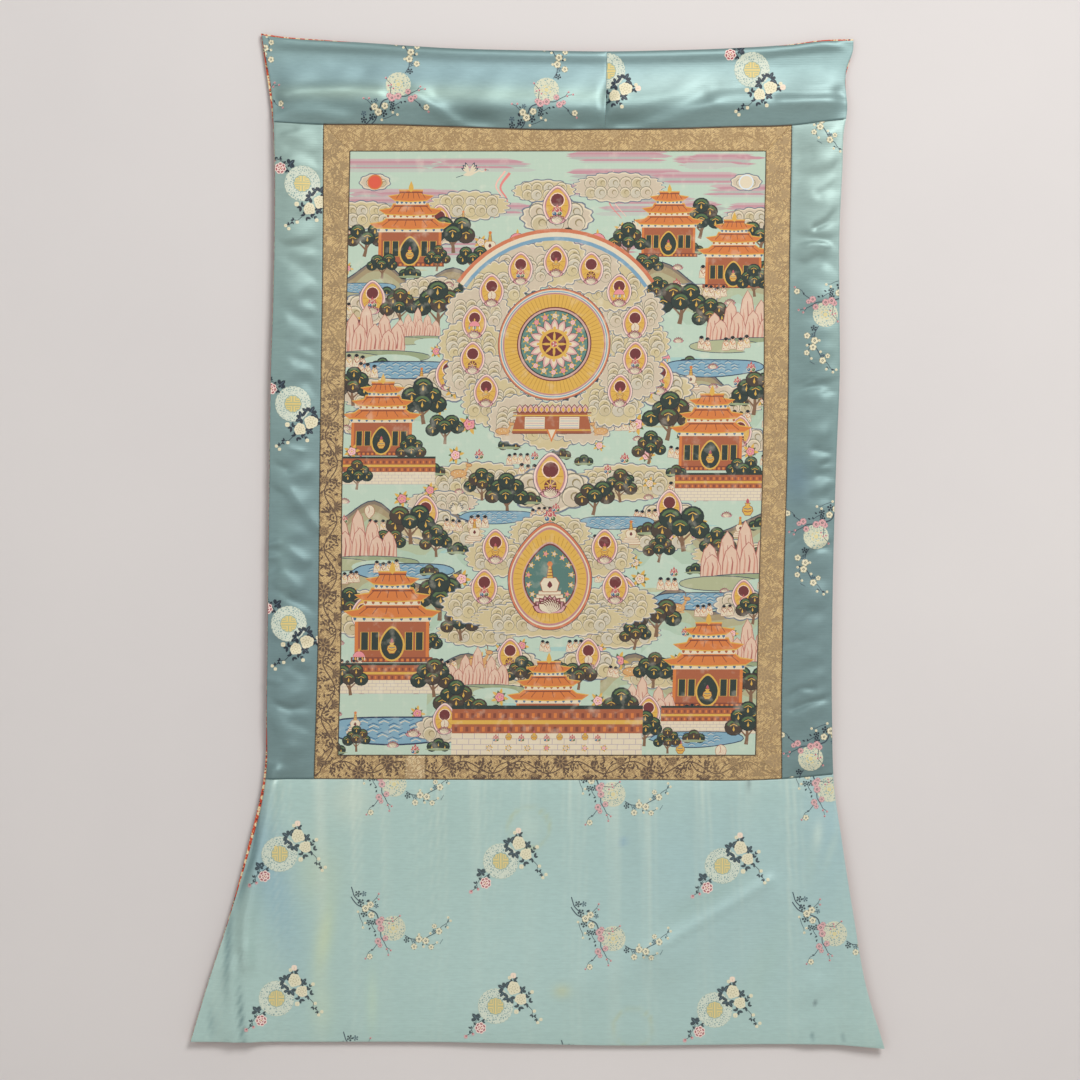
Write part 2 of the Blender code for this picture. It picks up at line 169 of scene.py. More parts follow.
def column(table: Sequence[tuple[float, ...]], index: int) -> Line:
    """The line through one column of a table whose first column holds the knots."""
    return Line(tuple(row[0] for row in table), tuple(row[index] for row in table))


LEFT, RIGHT = column(SECTIONS, 1), column(SECTIONS, 2)
FRAME_LEFT, PICTURE_LEFT = column(FRAME, 1), column(FRAME, 2)
PICTURE_RIGHT, FRAME_RIGHT = column(FRAME, 3), column(FRAME, 4)
TOP, TOP_SEAM = column(HEAD, 1), column(HEAD, 2)
SKIRT_SEAM, HEM = column(FOOT, 1), column(FOOT, 2)
HEAD_RISE = column(HEAD_PROFILE, 1)
TOP_JOIN = Line((-87.0, 0.0), (52.7, 54.8))


def lining_shows(z: Array) -> Array:
    """How far the lining shows beside the front's left edge."""
    return 0.45 + 2.4 * np.exp(-(((z + 34) / 32) ** 2)) + 3.1 * np.exp(-(((z + 845) / 72) ** 2))


def print_shows(x: Array) -> Array:
    """How far the lining shows above the front's top edge, most at the two corners."""
    away = np.minimum(np.maximum((x + 226) / -96, (x - 244) / 80), 1)
    return 0.2 + 1.7 * np.maximum(away, 0) ** 0.5


def front_left(z: Array) -> Array:
    """The left edge of the front layer."""
    return LEFT(z) + lining_shows(z)


def front_top(x: Array) -> Array:
    """The top edge of the front layer."""
    return TOP(x) - print_shows(x)


@dataclass(frozen=True)
class Fold:
    """A soft fold, or with a negative rise a trough, along a line of points.

    Args:
        path: the points of its crest.
        width: how far its slope reaches to the side.
        rise: its height.
        sharp: whether its crest is creased instead of round.
    """

    path: tuple[Point, ...]
    width: float
    rise: float
    sharp: bool = False

    def distance(self, x: Array, z: Array) -> Array:
        """How far each point is from the crest."""
        nearest = np.full(x.shape, np.inf)
        for (x0, z0), (x1, z1) in zip(self.path, self.path[1:]):
            run, climb = x1 - x0, z1 - z0
            part = np.clip(((x - x0) * run + (z - z0) * climb) / (run**2 + climb**2), 0, 1)
            nearest = np.minimum(nearest, np.hypot(x - x0 - part * run, z - z0 - part * climb))
        return nearest

    def lift(self, x: Array, z: Array) -> Array:
        """How far the fold lifts the cloth at each point."""
        reach = 4.5 * self.width
        across, down = [p[0] for p in self.path], [p[1] for p in self.path]
        near = (x > min(across) - reach) & (x < max(across) + reach)
        near &= (z > min(down) - reach) & (z < max(down) + reach)
        away = self.distance(x[near], z[near]) / self.width
        risen = np.zeros(x.shape)
        power = 2.0 * np.hypot(away, 0.35) - 0.7 if self.sharp else away**2
        risen[near] = self.rise * np.exp(-power)
        return risen


def folds(text: str) -> tuple[Fold, ...]:
    """The folds of a table, one to a line: width, rise, the crest's points, and maybe sharp."""
    made = []
    for line in text.split("\n"):
        if line.strip() and not line.strip().startswith("#"):
            width, rise, *way = map(float, line.removesuffix("sharp").split())
            made.append(Fold(tuple(zip(way[::2], way[1::2])), width, rise, line.endswith("sharp")))
    return tuple(made)


# Both layers stand away from the wall here
SWELLS = folds("""
    9.5 6  -309 -792 -317 -845 -329 -905 -340 -955 -342 -1000
    16 4.2  -352 -1015 -346 -1092
    60 3.6  -340 -850 -396 -1080
    52 5.5  -312 -110 -318 -730
    52 5.5  312 -110 303 -730
    50 5  318 -870 352 -1080
    26 2.6  224 -924 119 -994
    24 2  119 -994 28 -1029
    15 2.6  286 -1030 280 -1094
    60 2.4  -20 -990 -60 -1090
    120 3  -60 -20 60 -30
    """)

# The front layer's own folds, by panel
FOLDS = folds("""
    # top panel
    8 2.2  -300 -50 -262 -44 -228 -43 -196 -46
    9 -2  -316 -62 -287 -57 -263 -56 -232 -60
    7 1.2  -318 -70 -290 -66 -262 -70 -236 -74
    7 2  -158 -48 -140 -58 -120 -74 -112 -82
    12 -2.6  -132 -54 -114 -60 -80 -80
    12 -1  -214 -20 -236 -12
    9 -2  58 -48 40 -62 26.4 -80
    7 1.2  68 -50 58 -66 50 -82
    10 -2.4  160 -50 113 -66 71 -80
    8 1.4  172 -58 130 -74 104 -82
    7 -1.2  176 -42.6 206 -40
    6 -1.8  240 -47 280 -48 317 -46
    7 1.4  246 -56 284 -57 317 -57
    14 -1.2  249 -14 289 -16
    4 -1  302.5 11.3 324.5 4.7 sharp
    # left side panel
    6 -1.4  -313.5 -91 -291.5 -84.4
    8 -1.4  -293.7 -109.7 -258.5 -119.6
    7 -1.3  -273.9 -137.2 -255.2 -146
    7 -3  -312.4 -215.3 -298.1 -216.4 -282.7 -214.7 -257.4 -210.9 sharp
    5 -1.6  -312.4 -223 -300.3 -220.8 sharp
    9 -1.9  -293.7 -230.7 -259.6 -246.1
    8 -1.5  -273.9 -272.5 -258.5 -278
    9 -1.6  -287.1 -292.3 -258.5 -303.3
    7 -1.4  -276.1 -323.1 -258.5 -328.6
    7 -1.5  -282.7 -340.7 -259.6 -348.4
    6 -1.8  -272.8 -364.9 -259.6 -378.1 sharp
    3 1  -294.8 -436.4 -279.4 -440.8 sharp
    5 -1.4  -314.6 -451.8 -294.8 -460.6 sharp
    10 1.6  -304.7 -469.4 -276.1 -462.8
    6 -1.4  -315.7 -483.7 -300.3 -487
    7 1.9  -291.5 -487 -262.9 -523.3
    5 -2.2  -293.7 -601.4 -268.4 -612.4 sharp
    7 -1.5  -292.6 -674 -279.4 -682.8
    5 -2.4  -319 -713.6 -292.6 -723.5 -269.5 -719.6 sharp
    8 1.3  -309.1 -731.2 -293.7 -763.1
    6 1.8  -293 -550 -276 -561
    7 1.5  -300 -575 -284 -590
    4 1.3  -318 -543 -307 -541
    3.5 1.2  -318 -557 -308 -556
    3.5 -1.1  -318 -570 -309 -568
    5 -1.5  -314 -592 -298 -597
    6 1.2  -310 -640 -296 -648
    5 -1.2  -286 -655 -266 -650
    4 1.2  -318 -690 -306 -693
    6 -1.2  -290 -738 -270 -744
    # right side panel
    7 -1.4  258.5 -118.5 276.1 -113
    8 -1.6  258.5 -139.4 283.8 -136.1 310.2 -129.5
    6 -1.5  309.1 -147.7 288.2 -158.1
    5 -3  309.1 -179 298.1 -187.8 283.8 -194.9 sharp
    6 -3.2  255.2 -207.6 273.9 -205.4 291.5 -207.6 310.2 -210.9 sharp
    3 1  273.9 -214.7 283.8 -212 297 -214.7 sharp
    7 -1.9  286 -228.5 309.1 -236.2
    9 -1.2  256.3 -238.4 280.5 -231.8
    6 -3.4  254.1 -372.6 273.9 -370.4 289.3 -367.1 310.2 -369.3 sharp
    3 -0.9  267.3 -366 280.5 -360.5 sharp
    3 -0.9  293.7 -377 309.1 -371.5 sharp
    5 -1.5  282.7 -438.6 298.1 -441.9 sharp
    5 -1.6  291.5 -455.1 309.1 -448.5 sharp
    5 -1.4  289.3 -466.1 308 -466.1
    8 -1.6  280.5 -490.3 306.9 -489.2
    4 -1.6  251.9 -544.2 265.1 -537.6 sharp
    5 -2.4  271.7 -557.4 282.7 -547.5 304.7 -544.2 sharp
    4 1.2  273.9 -546.4 282.7 -544.2
    5 -1  250.8 -652 267.3 -648.7 sharp
    3 0.7  256.3 -633.3 272.8 -616.8 sharp
    4 -2  247.5 -715.8 256.3 -709.2 267.3 -700.4 280.5 -700.4 sharp
    4 -2.4  247.5 -720.2 260 -723.5 273.9 -716.9 300.3 -710.3 sharp
    # skirt
    7 1.7  -311 -806 -318 -845 -330 -905 -341 -955 -343 -990
    5 -1.4  -331 -838 -344 -903 -354 -950 -360 -990
    7 1.8  -356 -985 -355 -1040 -353 -1089
    4 -2.8  -349.5 -990 -348.4 -1043 -346.5 -1089 sharp
    8 2  -341 -985 -340 -1036 -337 -1089
    5 -1.6  -380.6 -1052.4 -377.3 -1081
    5 1  -366.3 -1056.8 -364.1 -1083.2
    4 -1.2  -308 -1074.4 -306.9 -1089.8
    4 -1  -233.2 -1077.7 -232.1 -1090.9
    4 -2.4  279.4 -1076.6 281.6 -1094.2 sharp
    4 -2.4  313 -1078 315 -1095 sharp
    6 2.6  98 -994 123 -977 178 -945 233 -912 sharp
    12 -1  267.3 -1056.8 300.3 -1043.6
    """)


@dataclass(frozen=True)
class Ripples:
    """Small uneven waves that cross each other, as in cloth that is sewn a little short.

    Args:
        seed: picks one set of waves.
        lengths: the shortest and the longest wave.
        lean: how far the waves may lean from level, in degrees.
    """

    seed: int
    lengths: tuple[float, float]
    lean: float

    def __call__(self, x: Array, z: Array) -> Array:
        """The waves' height at each point, mostly within 1 and -1."""
        pick = random.Random(self.seed)
        total = np.zeros(np.shape(x))
        for _ in range(6):
            length = pick.uniform(*self.lengths)
            angle = math.radians(pick.uniform(-self.lean, self.lean))
            along = (z * math.cos(angle) + x * math.sin(angle)) / length
            total += np.sin(math.tau * (along + pick.random())) / 2.4
        return total


LEFT_EDGE_RIPPLES = Ripples(3, (15, 34), 18)
RIGHT_EDGE_RIPPLES = Ripples(8, (15, 34), 18)
FRAME_LEFT_RIPPLES = Ripples(12, (13, 30), 16)
FRAME_RIGHT_RIPPLES = Ripples(21, (13, 30), 16)
PANEL_WAVES = Ripples(31, (26, 64), 34)
HEAD_WAVES = Ripples(44, (30, 90), 60)


def swell(x: Array, z: Array) -> Array:
    """How far the hanging cloth stands off the wall."""
    return sum(fold.lift(x, z) for fold in SWELLS)


def lining_face(x: Array, z: Array) -> Array:
    """The lining's face, as a distance from the wall."""
    return LINING_THICK + swell(x, z)


def rounding(away: Array, reach: float = SEAM_ROUNDING) -> Array:
    """How far cloth has filled out, from 0 at a seam to 1, at a distance from it."""
    return 1 - np.exp(-((np.maximum(away, 0) / reach) ** 2))


def side_fullness(x: Array, z: Array) -> Array:
    """How far the side panels stand off the lining, with the puckers along their seams."""
    left = x < 0
    outer = np.where(left, x - front_left(z), RIGHT(z) - x)
    inner = np.where(left, FRAME_LEFT(z) - x, x - FRAME_RIGHT(z))
    ends = np.minimum(TOP_SEAM(x) - z, z - SKIRT_SEAM(x))
    full = rounding(outer) * rounding(inner, 15) * rounding(ends, 8)
    edge = np.where(left, LEFT_EDGE_RIPPLES(x, z), RIGHT_EDGE_RIPPLES(x, z))
    seam = np.where(left, FRAME_LEFT_RIPPLES(x, z), FRAME_RIGHT_RIPPLES(x, z))
    puckers = 0.5 * edge * np.exp(-outer / 15) + 0.5 * seam * np.exp(-inner / 13)
    return full * (PANEL_FULLNESS + puckers + 0.75 * PANEL_WAVES(x, z))


def head_fullness(x: Array, z: Array) -> Array:
    """How far the top panel stands off the lining: its hem, and the bulge over its seam."""
    part = np.clip((TOP(x) - z) / (TOP(x) - TOP_SEAM(x)), 0, 1)
    ends = rounding(np.minimum(x - front_left(z), RIGHT(z) - x), 14)
    join = 1 - 0.5 * np.exp(-((x - TOP_JOIN(z)) / 5) ** 2)
    waves = 0.45 * HEAD_WAVES(x, z) * rounding(TOP(x) - z, 24) * rounding(z - TOP_SEAM(x))
    return ends * join * (HEAD_RISE(part) + waves)


def skirt_fullness(x: Array, z: Array) -> Array:
    """How far the skirt stands off the lining."""
    sides = np.minimum(x - front_left(z), RIGHT(z) - x)
    ends = np.minimum(SKIRT_SEAM(x) - z, z - HEM(x))
    return SKIRT_FULLNESS * rounding(np.minimum(sides, ends), 9)


def front_face(x: Array, z: Array) -> Array:
    """The front layer's face, as a distance from the wall."""
    head, foot = z > TOP_SEAM(x), z < SKIRT_SEAM(x)
    side = ~head & ~foot & ((x < FRAME_LEFT(z)) | (x > FRAME_RIGHT(z)))
    rise = np.zeros(np.shape(x))
    for part, fullness in ((head, head_fullness), (foot, skirt_fullness), (side, side_fullness)):
        rise[part] = fullness(x[part], z[part])
    away = np.minimum(np.abs(z - TOP_SEAM(x)), np.abs(z - SKIRT_SEAM(x)))
    folds = FOLD_DEPTH * sum(fold.lift(x, z) for fold in FOLDS) * rounding(away, 3)
    folds *= head | foot | side
    settled = np.logaddexp(0, 5 * (rise + folds + 0.25)) / 5 - 0.25 - np.log1p(math.e) / 50
    return lining_face(x, z) + LAYER_GAP + FRONT_THICK + settled


# ---------------------------------------------------------------- nodes and finishes


def linear(hex_colour: str) -> tuple[float, float, float, float]:
    """An sRGB hex colour as the linear values that a shader takes."""
    parts = [int(hex_colour[i : i + 2], 16) / 255 for i in (1, 3, 5)]
    bent = [c / 12.92 if c <= 0.04045 else ((c + 0.055) / 1.055) ** 2.4 for c in parts]
    return (*bent, 1.0)


def plug(node: bpy.types.Node, inputs: dict[Any, Any]) -> None:
    """Sets a node's sockets, each to a value or to what another node gives."""
    for socket, value in inputs.items():
        if isinstance(value, bpy.types.Node):
            value = value.outputs[0]
        if isinstance(value, bpy.types.NodeSocket):
            node.id_data.links.new(value, node.inputs[socket])
        else:
            node.inputs[socket].default_value = value


def add_node(tree: bpy.types.NodeTree, kind: str, inputs: dict[Any, Any] | None = None,
        **settings: Any) -> bpy.types.Node:
    """Adds a node with its settings and links.

    Args:
        tree: the material's nodes.
        kind: the node's type name, after ShaderNode.
        inputs: a value, or another node or output, for each of its sockets.
        settings: the node's own properties.

    Returns:
        The new node.
    """
    made = tree.nodes.new(f"ShaderNode{kind}")
    for name, value in settings.items():
        setattr(made, name, value)
    plug(made, inputs or {})
    return made


def new_material(name: str) -> tuple[bpy.types.Material, bpy.types.Node, Callable, Any]:
    """A material, its main shader, what adds a node to it, and the places on the object."""
    material = bpy.data.materials.new(name)
    material.use_nodes = True
    add = partial(add_node, material.node_tree)
    shader = material.node_tree.nodes["Principled BSDF"]
    return material, shader, add, add("TexCoord").outputs["Object"]


def wave_scale(pitch_mm: float) -> float:
    """The scale that gives the Wave texture bands of a real pitch."""
    return math.tau / 20 / (pitch_mm * MM)


# The Mix node's sockets: part, under and over; its colour is output 2
MIX = {"data_type": "RGBA"}
SHADE = {"data_type": "RGBA", "blend_type": "MULTIPLY"}
BANDS = {"wave_type": "BANDS", "bands_direction": "Z"}


@dataclass(frozen=True)
class SilkSatin:
    """Silk satin, woven with long floats on its face.

    The floats lie flat, so it throws a broad pale sheen from every slope that leans to the
    light and falls dark on the slopes that lean away, and its fine ribs only just show.
    """

    name: str
    roughness: float = 0.52
    metallic: float = 0.5
    rib_pitch: float = 2.6  # the real ribs, at 0.3 mm, are too fine to show

    def material(self) -> bpy.types.Material:
        """The cloth's material."""
        made, shader, add, place = new_material(self.name)
        # The tone attribute is the cloth's colour; on the top panel it also holds painted shade and
        # a painted highlight, and on the skirt painted shade in the folds.
        tone = add("Attribute", attribute_name="tone")
        slubs = add("Mapping", {"Vector": place, "Scale": (110, 60, 480)})
        grain = add("TexNoise", {"Vector": slubs, "Scale": 1.0, "Detail": 4.0})
        pitch = {"Scale": wave_scale(self.rib_pitch), "Distortion": 1.6, "Detail": 2.0}
        ribs = add("TexWave", {"Vector": place, **pitch}, **BANDS).outputs["Fac"]
        shade = add("MapRange", {"Value": grain, 1: 0.25, 2: 0.75, 3: 0.94, 4: 1.05})
        worn = add("Mix", {0: 1.0, 6: tone, 7: shade}, **SHADE).outputs[2]
        height = add("Math", {0: ribs, 1: grain}, operation="ADD")
        bump = add("Bump", {"Height": height, "Strength": 0.09, "Distance": 0.0003})
        plug(shader, {"Base Color": worn, "Normal": bump, "Metallic": self.metallic})
        plug(shader, {"Roughness": self.roughness, "IOR": 1.55, "Specular IOR Level": 0.8})
        return made


@dataclass(frozen=True)
class SilkFloats:
    """Coloured silk wefts that float on the satin's face where a flower shows.

    They are a little duller than the ground, with a fine broken thread line. Where the
    tone's alpha is low they make an open net, and the ground shows in its holes.
    """

    name: str
    roughness: float = 0.55
    thread_pitch: float = 1.1  # the real wefts, at 0.25 mm, are too fine to show
    hole: str = "#86a19c"
    hole_pitch: float = 2.3

    def material(self) -> bpy.types.Material:
        """The floats' material."""
        made, shader, add, place = new_material(self.name)
        tone = add("Attribute", attribute_name="tone")
        flat = add("Mapping", {"Vector": place, "Scale": (1, 0, 1)})
        mesh = {"Vector": flat, "Scale": 1 / (self.hole_pitch * MM)}
        cells = add("TexVoronoi", mesh, feature="DISTANCE_TO_EDGE")
        open_net = add("MapRange", {"Value": cells, 1: 0.13, 2: 0.26})
        netted = add("MapRange", {"Value": tone.outputs["Alpha"], 1: 0.9, 2: 0.6})
        hole = add("Math", {0: open_net, 1: netted}, operation="MULTIPLY")
        woven_net = add("Mix", {0: hole, 6: tone, 7: linear(self.hole)}, **MIX).outputs[2]
        pitch = {"Scale": wave_scale(self.thread_pitch), "Distortion": 2.0, "Detail": 2.0}
        threads = add("TexWave", {"Vector": place, **pitch}, **BANDS).outputs["Fac"]
        shade = add("MapRange", {"Value": threads, 3: 0.9, 4: 1.06})
        colour = add("Mix", {0: 1.0, 6: woven_net, 7: shade}, **SHADE).outputs[2]
        plug(shader, {"Base Color": colour, "Roughness": self.roughness})
        return made


@dataclass(frozen=True)
class GoldBrocade:
    """Brocade with a dull gold weft: flat strips of gilt paper bound down by a fine warp.

    The gilding has rubbed to beige, so it glints only a little, in a fine broken twill.
    """

    name: str
    worn: str
    bright: str
    dark: str = "#7c5f42"
    twill_pitch: float = 1.9  # the real binding, at 0.4 mm, is too fine to show
    tendril_pitch: float = 6.2

    def material(self) -> bpy.types.Material:
        """The cloth's material."""
        made, shader, add, place = new_material(self.name)
        turned = add("Mapping", {"Vector": place, "Rotation": (0, math.radians(38), 0)})
        pitch = {"Scale": wave_scale(self.twill_pitch), "Distortion": 3.0, "Detail": 3.0}
        twill = add("TexWave", {"Vector": turned, **pitch}, **BANDS).outputs["Fac"]
        rub = add("TexNoise", {"Vector": place, "Scale": 190.0, "Detail": 3.0})
        gilt = {0: rub, 6: linear(self.worn), 7: linear(self.bright)}
        shade = add("MapRange", {"Value": twill, 3: 0.8, 4: 1.1})
        base = add("Mix", gilt, **MIX).outputs[2]
        colour = add("Mix", {0: 1.0, 6: base, 7: shade}, **SHADE).outputs[2]
        size = {"Scale": 1 / (self.tendril_pitch * MM), "Detail": 1.2, "Distortion": 1.6}
        curls = add("TexNoise", {"Vector": place, **size})
        crest = add("Math", {0: curls, 1: 0.5}, operation="SUBTRACT")
        crest = add("Math", {0: crest}, operation="ABSOLUTE")
        tendril = add("MapRange", {"Value": crest, 1: 0.07, 2: 0.03, 4: 0.62})
        colour = add("Mix", {0: tendril, 6: colour, 7: linear(self.dark)}, **MIX).outputs[2]
        bump = add("Bump", {"Height": twill, "Strength": 0.25, "Distance": 0.0003})
        plug(shader, {"Base Color": colour, "Normal": bump, "Metallic": 0.15, "Roughness": 0.62})
        return made


@dataclass(frozen=True)
class PrintedCotton:
    """Plain-woven cotton, block-printed orange red with cream sprigs and black and yellow dots.

    It is matt, and the print is a little off register.
    """

    name: str
    sprig_pitch: float = 6.0

    def material(self) -> bpy.types.Material:
        """The cloth's material."""
        made, shader, add, place = new_material(self.name)
        flat = add("Mapping", {"Vector": place, "Scale": (1, 0, 1)})
        colour: Any = linear("#c8492c")
        for scale, size, ink, moved in ((1.0, 0.44, "#e6d2a6", 0.0), (1.0, 0.15, "#c8492c", 0.0),
                (1.7, 0.24, "#3a322c", 0.31), (1.7, 0.26, "#dcc084", 0.72)):
            off = add("Mapping", {"Vector": flat, "Location": (moved, 0, moved)})
            pitch = scale / (self.sprig_pitch * MM)
            cells = add("TexVoronoi", {"Vector": off, "Scale": pitch, "Randomness": 0.55})
            spot = add("MapRange", {"Value": cells, 1: size + 0.05, 2: size - 0.05})
            colour = add("Mix", {0: spot, 6: colour, 7: linear(ink)}, **MIX).outputs[2]
        plug(shader, {"Base Color": colour, "Roughness": 0.85})
        return made


@dataclass(frozen=True)
class Distemper:
    """Mineral colours in glue on primed cotton, brushed on thin and burnished.

    The colour is matt and opaque, a little rubbed where the scroll was rolled, and the
    canvas's threads show faintly through it.
    """

    name: str
    thread_pitch: float = 1.5  # the real threads, at 0.6 mm, are too fine to show

    def material(self) -> bpy.types.Material:
        """The painted canvas's material."""
        made, shader, add, place = new_material(self.name)
        tone = add("Attribute", attribute_name="tone")
        thread = {"Vector": place, "Scale": wave_scale(self.thread_pitch), "Distortion": 0.6}
        weft = add("TexWave", thread, wave_type="BANDS", bands_direction="X").outputs["Fac"]
        warp = add("TexWave", thread, **BANDS).outputs["Fac"]
        cloth = add("Math", {0: weft, 1: warp}, operation="ADD")
        rub = add("TexNoise", {"Vector": place, "Scale": 85.0, "Detail": 7.0})
        thin = add("MapRange", {"Value": rub, 1: 0.56, 2: 0.78, 3: 0.0, 4: 0.3})
        colour = add("Mix", {0: thin, 6: tone, 7: linear("#e6ddc8")}, **MIX).outputs[2]
        shade = add("MapRange", {"Value": cloth, 1: 0.0, 2: 2.0, 3: 0.95, 4: 1.04})
        colour = add("Mix", {0: 1.0, 6: colour, 7: shade}, **SHADE).outputs[2]
        bump = add("Bump", {"Height": cloth, "Strength": 0.1, "Distance": 0.0003})
        plug(shader, {"Base Color": colour, "Normal": bump, "Roughness": 0.78})
        return made


@dataclass(frozen=True)
class Matt:
    """A plain matt surface with a faint mottle, such as waxed sewing thread."""

    name: str
    colour: str
    mottle: str
    grain: float

    def material(self) -> bpy.types.Material:
        """The surface's material."""
        made, shader, add, place = new_material(self.name)
        noise = add("TexNoise", {"Vector": place, "Scale": 1 / (self.grain * MM)})
        inks = {6: linear(self.colour), 7: linear(self.mottle)}
        colour = add("Mix", {0: noise, **inks}, **MIX).outputs[2]
        plug(shader, {"Base Color": colour, "Roughness": 0.9})
        return made


# ---------------------------------------------------------------- tones and cuts


def noise_line(seed: int, shortest: float, longest: float) -> Callable[[Array], Array]:
    """A wandering line, mostly within 1 and -1, for streaks that run down a cloth."""
    pick = random.Random(seed)
    waves = [(pick.uniform(shortest, longest), pick.random()) for _ in range(9)]
    return lambda at: sum(np.sin(math.tau * (at / long + start)) for long, start in waves) / 3


@dataclass(frozen=True)
class FadeAndPaintedLight:
    """A soft patch of another colour on a cloth. Some are the cloth's fades and stains, and some
    are painted shade in its folds or a painted highlight where its sheen falls, as the tables of
    tones say.

    Args:
        x, z: its middle.
        wide, high: how far it reaches.
        colour: its colour.
        strength: how far it covers the cloth's own colour, from 0 to 1.
        lean: how far its length leans to the right of upright, in degrees.
        ring: the radius of the tide line that it is instead, or 0.
    """

    x: float
    z: float
    wide: float
    high: float
    colour: str
    strength: float
    lean: float = 0.0
    ring: float = 0.0

    def cover(self, x: Array, z: Array) -> Array:
        """How far each point takes on its colour."""
        if self.ring:
            off = np.hypot(x - self.x, z - self.z) - self.ring
            wobble = 1 + 0.5 * np.sin(3 * np.arctan2(z - self.z, x - self.x))
            return self.strength * wobble / 1.5 * np.exp(-((off / self.wide) ** 2))
        turn = math.radians(self.lean)
        across = (x - self.x) * math.cos(turn) - (z - self.z) * math.sin(turn)
        along = (x - self.x) * math.sin(turn) + (z - self.z) * math.cos(turn)
        return self.strength * np.exp(-((across / self.wide) ** 2) - (along / self.high) ** 2)


def fades_and_painted_light(text: str) -> tuple[FadeAndPaintedLight, ...]:
    """The patches of a table (fades, painted shade, painted highlights), one to a line, values in
    the class's order.
    """
    table = [line.split() for line in text.strip().split("\n")]
    return tuple(FadeAndPaintedLight(*(part if part.startswith("#") else float(part) for part in row))
        for row in table)


@dataclass(frozen=True)
class Tone:
    """How a cloth's colour varies over it.

    Args:
        ground: the colour of most of it.
        fades_and_painted_light: its patches of other colours.
        streak: the colour of the streaks that run down from its top.
        streaks: how strong they are.
    """

    ground: str
    fades_and_painted_light: tuple[FadeAndPaintedLight, ...] = ()
    streak: str = "#ffffff"
    streaks: float = 0.0

    def __call__(self, x: Array, z: Array) -> Array:
        """The colour at each point, as linear red, green, blue and alpha."""
        colour = np.tile(np.array(linear(self.ground)), (len(x), 1))
        for tone_patch in self.fades_and_painted_light:
            part = np.clip(tone_patch.cover(x, z), 0, 1)[:, None]
            colour = colour * (1 - part) + np.array(linear(tone_patch.colour)) * part
        if self.streaks:
            wander = noise_line(5, 7, 60)(x + 1.5 * np.sin(z / 70))
            length = noise_line(9, 14, 90)(x)
            reach = np.exp(-(((z - SKIRT_SEAM(x)) / (90 + 70 * length)) ** 2)) * 0.75 + 0.25
            part = np.clip(self.streaks * wander * reach, 0, 1)[:, None]
            colour = colour * (1 - part) + np.array(linear(self.streak)) * part
        return colour


@dataclass(frozen=True)
class Cut:
    """The four edges that a piece of cloth is cut to.

    Args:
        left, right: x as a function of z.
        top, bottom: z as a function of x.
    """

    left: Edge
    right: Edge
    top: Edge
    bottom: Edge

    def place(self, across: Array, down: Array) -> tuple[Array, Array]:
        """Where points of the flat cut lie, from their parts of its width and length."""
        z = self.top(np.zeros_like(across)) * (1 - down) + self.bottom(np.zeros_like(across)) * down
        x = z
        for _ in range(6):
            x = self.left(z) * (1 - across) + self.right(z) * across
            z = self.top(x) * (1 - down) + self.bottom(x) * down
        return x, z

    def size(self) -> tuple[float, float]:
        """The cut's greatest width and length."""
        across = np.linspace(0, 1, 41)
        width = [np.ptp(self.place(across, np.full(41, down))[0]) for down in across[::8]]
        length = [np.ptp(self.place(np.full(41, part), across)[1]) for part in across[::8]]
        return float(max(width)), float(max(length))

    def area(self) -> float:
        """The cut's area in square millimetres."""
        across, down = np.meshgrid(np.linspace(0, 1, 61), np.linspace(0, 1, 61))
        x, z = self.place(across, down)
        side_x, side_z = np.diff(x, axis=1)[:-1], np.diff(z, axis=1)[:-1]
        end_x, end_z = np.diff(x, axis=0)[:, :-1], np.diff(z, axis=0)[:, :-1]
        return float(np.abs(side_x * end_z - side_z * end_x).sum())

    def inset(self, by: float) -> "Cut":
        """The same cut with its edges taken in."""
        return Cut(shifted(self.left, by), shifted(self.right, -by), shifted(self.top, -by),
            shifted(self.bottom, by))

    def outline(self, across: Point = (0, 1), down: Point = (0, 1), steps: int = 24) -> Array:
        """The outline of the cut, or of a part of it, against the clock from its lower left.

        Args:
            across, down: the parts of its width and length where the outline runs.
            steps: how many points each side has.
        """
        run = np.linspace(0, 1, steps, endpoint=False)
        left, right = np.full(steps, across[0]), np.full(steps, across[1])
        top, bottom = np.full(steps, down[0]), np.full(steps, down[1])
        onward, back = left + run * (right - left), right - run * (right - left)
        climb, fall = bottom + run * (top - bottom), top + run * (bottom - top)
        x, z = self.place(np.concatenate([onward, right, back, left]),
            np.concatenate([bottom, climb, top, fall]))
        return np.column_stack([x, z])


# ---------------------------------------------------------------- sheets of cloth


def lay_flat_map(mesh: bpy.types.Mesh) -> None:
    """Gives a mesh one map, seen from the front, for its woven or painted surface."""
    places = np.empty(len(mesh.vertices) * 3)
    mesh.vertices.foreach_get("co", places)
    flat = places.reshape(-1, 3)[:, [0, 2]]
    low, high = flat.min(0), flat.max(0)
    flat = 0.004 + 0.992 * (flat - low) / (high - low)
    corners = np.empty(len(mesh.loops), np.int32)
    mesh.loops.foreach_get("vertex_index", corners)
    layer = mesh.uv_layers.new(name="OFBake")
    layer.uv.foreach_set("vector", flat[corners].astype(np.float32).ravel())


def add_piece(name: str, mesh: bpy.types.Mesh, material: bpy.types.Material) -> bpy.types.Object:
    """Puts a finished mesh in the scene as a piece of the object."""
    mesh.materials.append(material)
    piece = bpy.data.objects.new(name, mesh)
    bpy.context.scene.collection.objects.link(piece)
    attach(piece, "root")
    return piece


def stops(length: float, pitch: float) -> list[float]:
    """Parts of a length at an even pitch, with closer ones for the turned edges."""
    count = max(2, round(length / pitch))
    near = [0.0, 0.5 / length, 1.2 / length, 2.4 / length]
    inner = [i / count for i in range(1, count)]
    kept = [part for part in inner if 3.2 / length < part < 1 - 3.2 / length]
    return near + kept + [1 - part for part in reversed(near)]


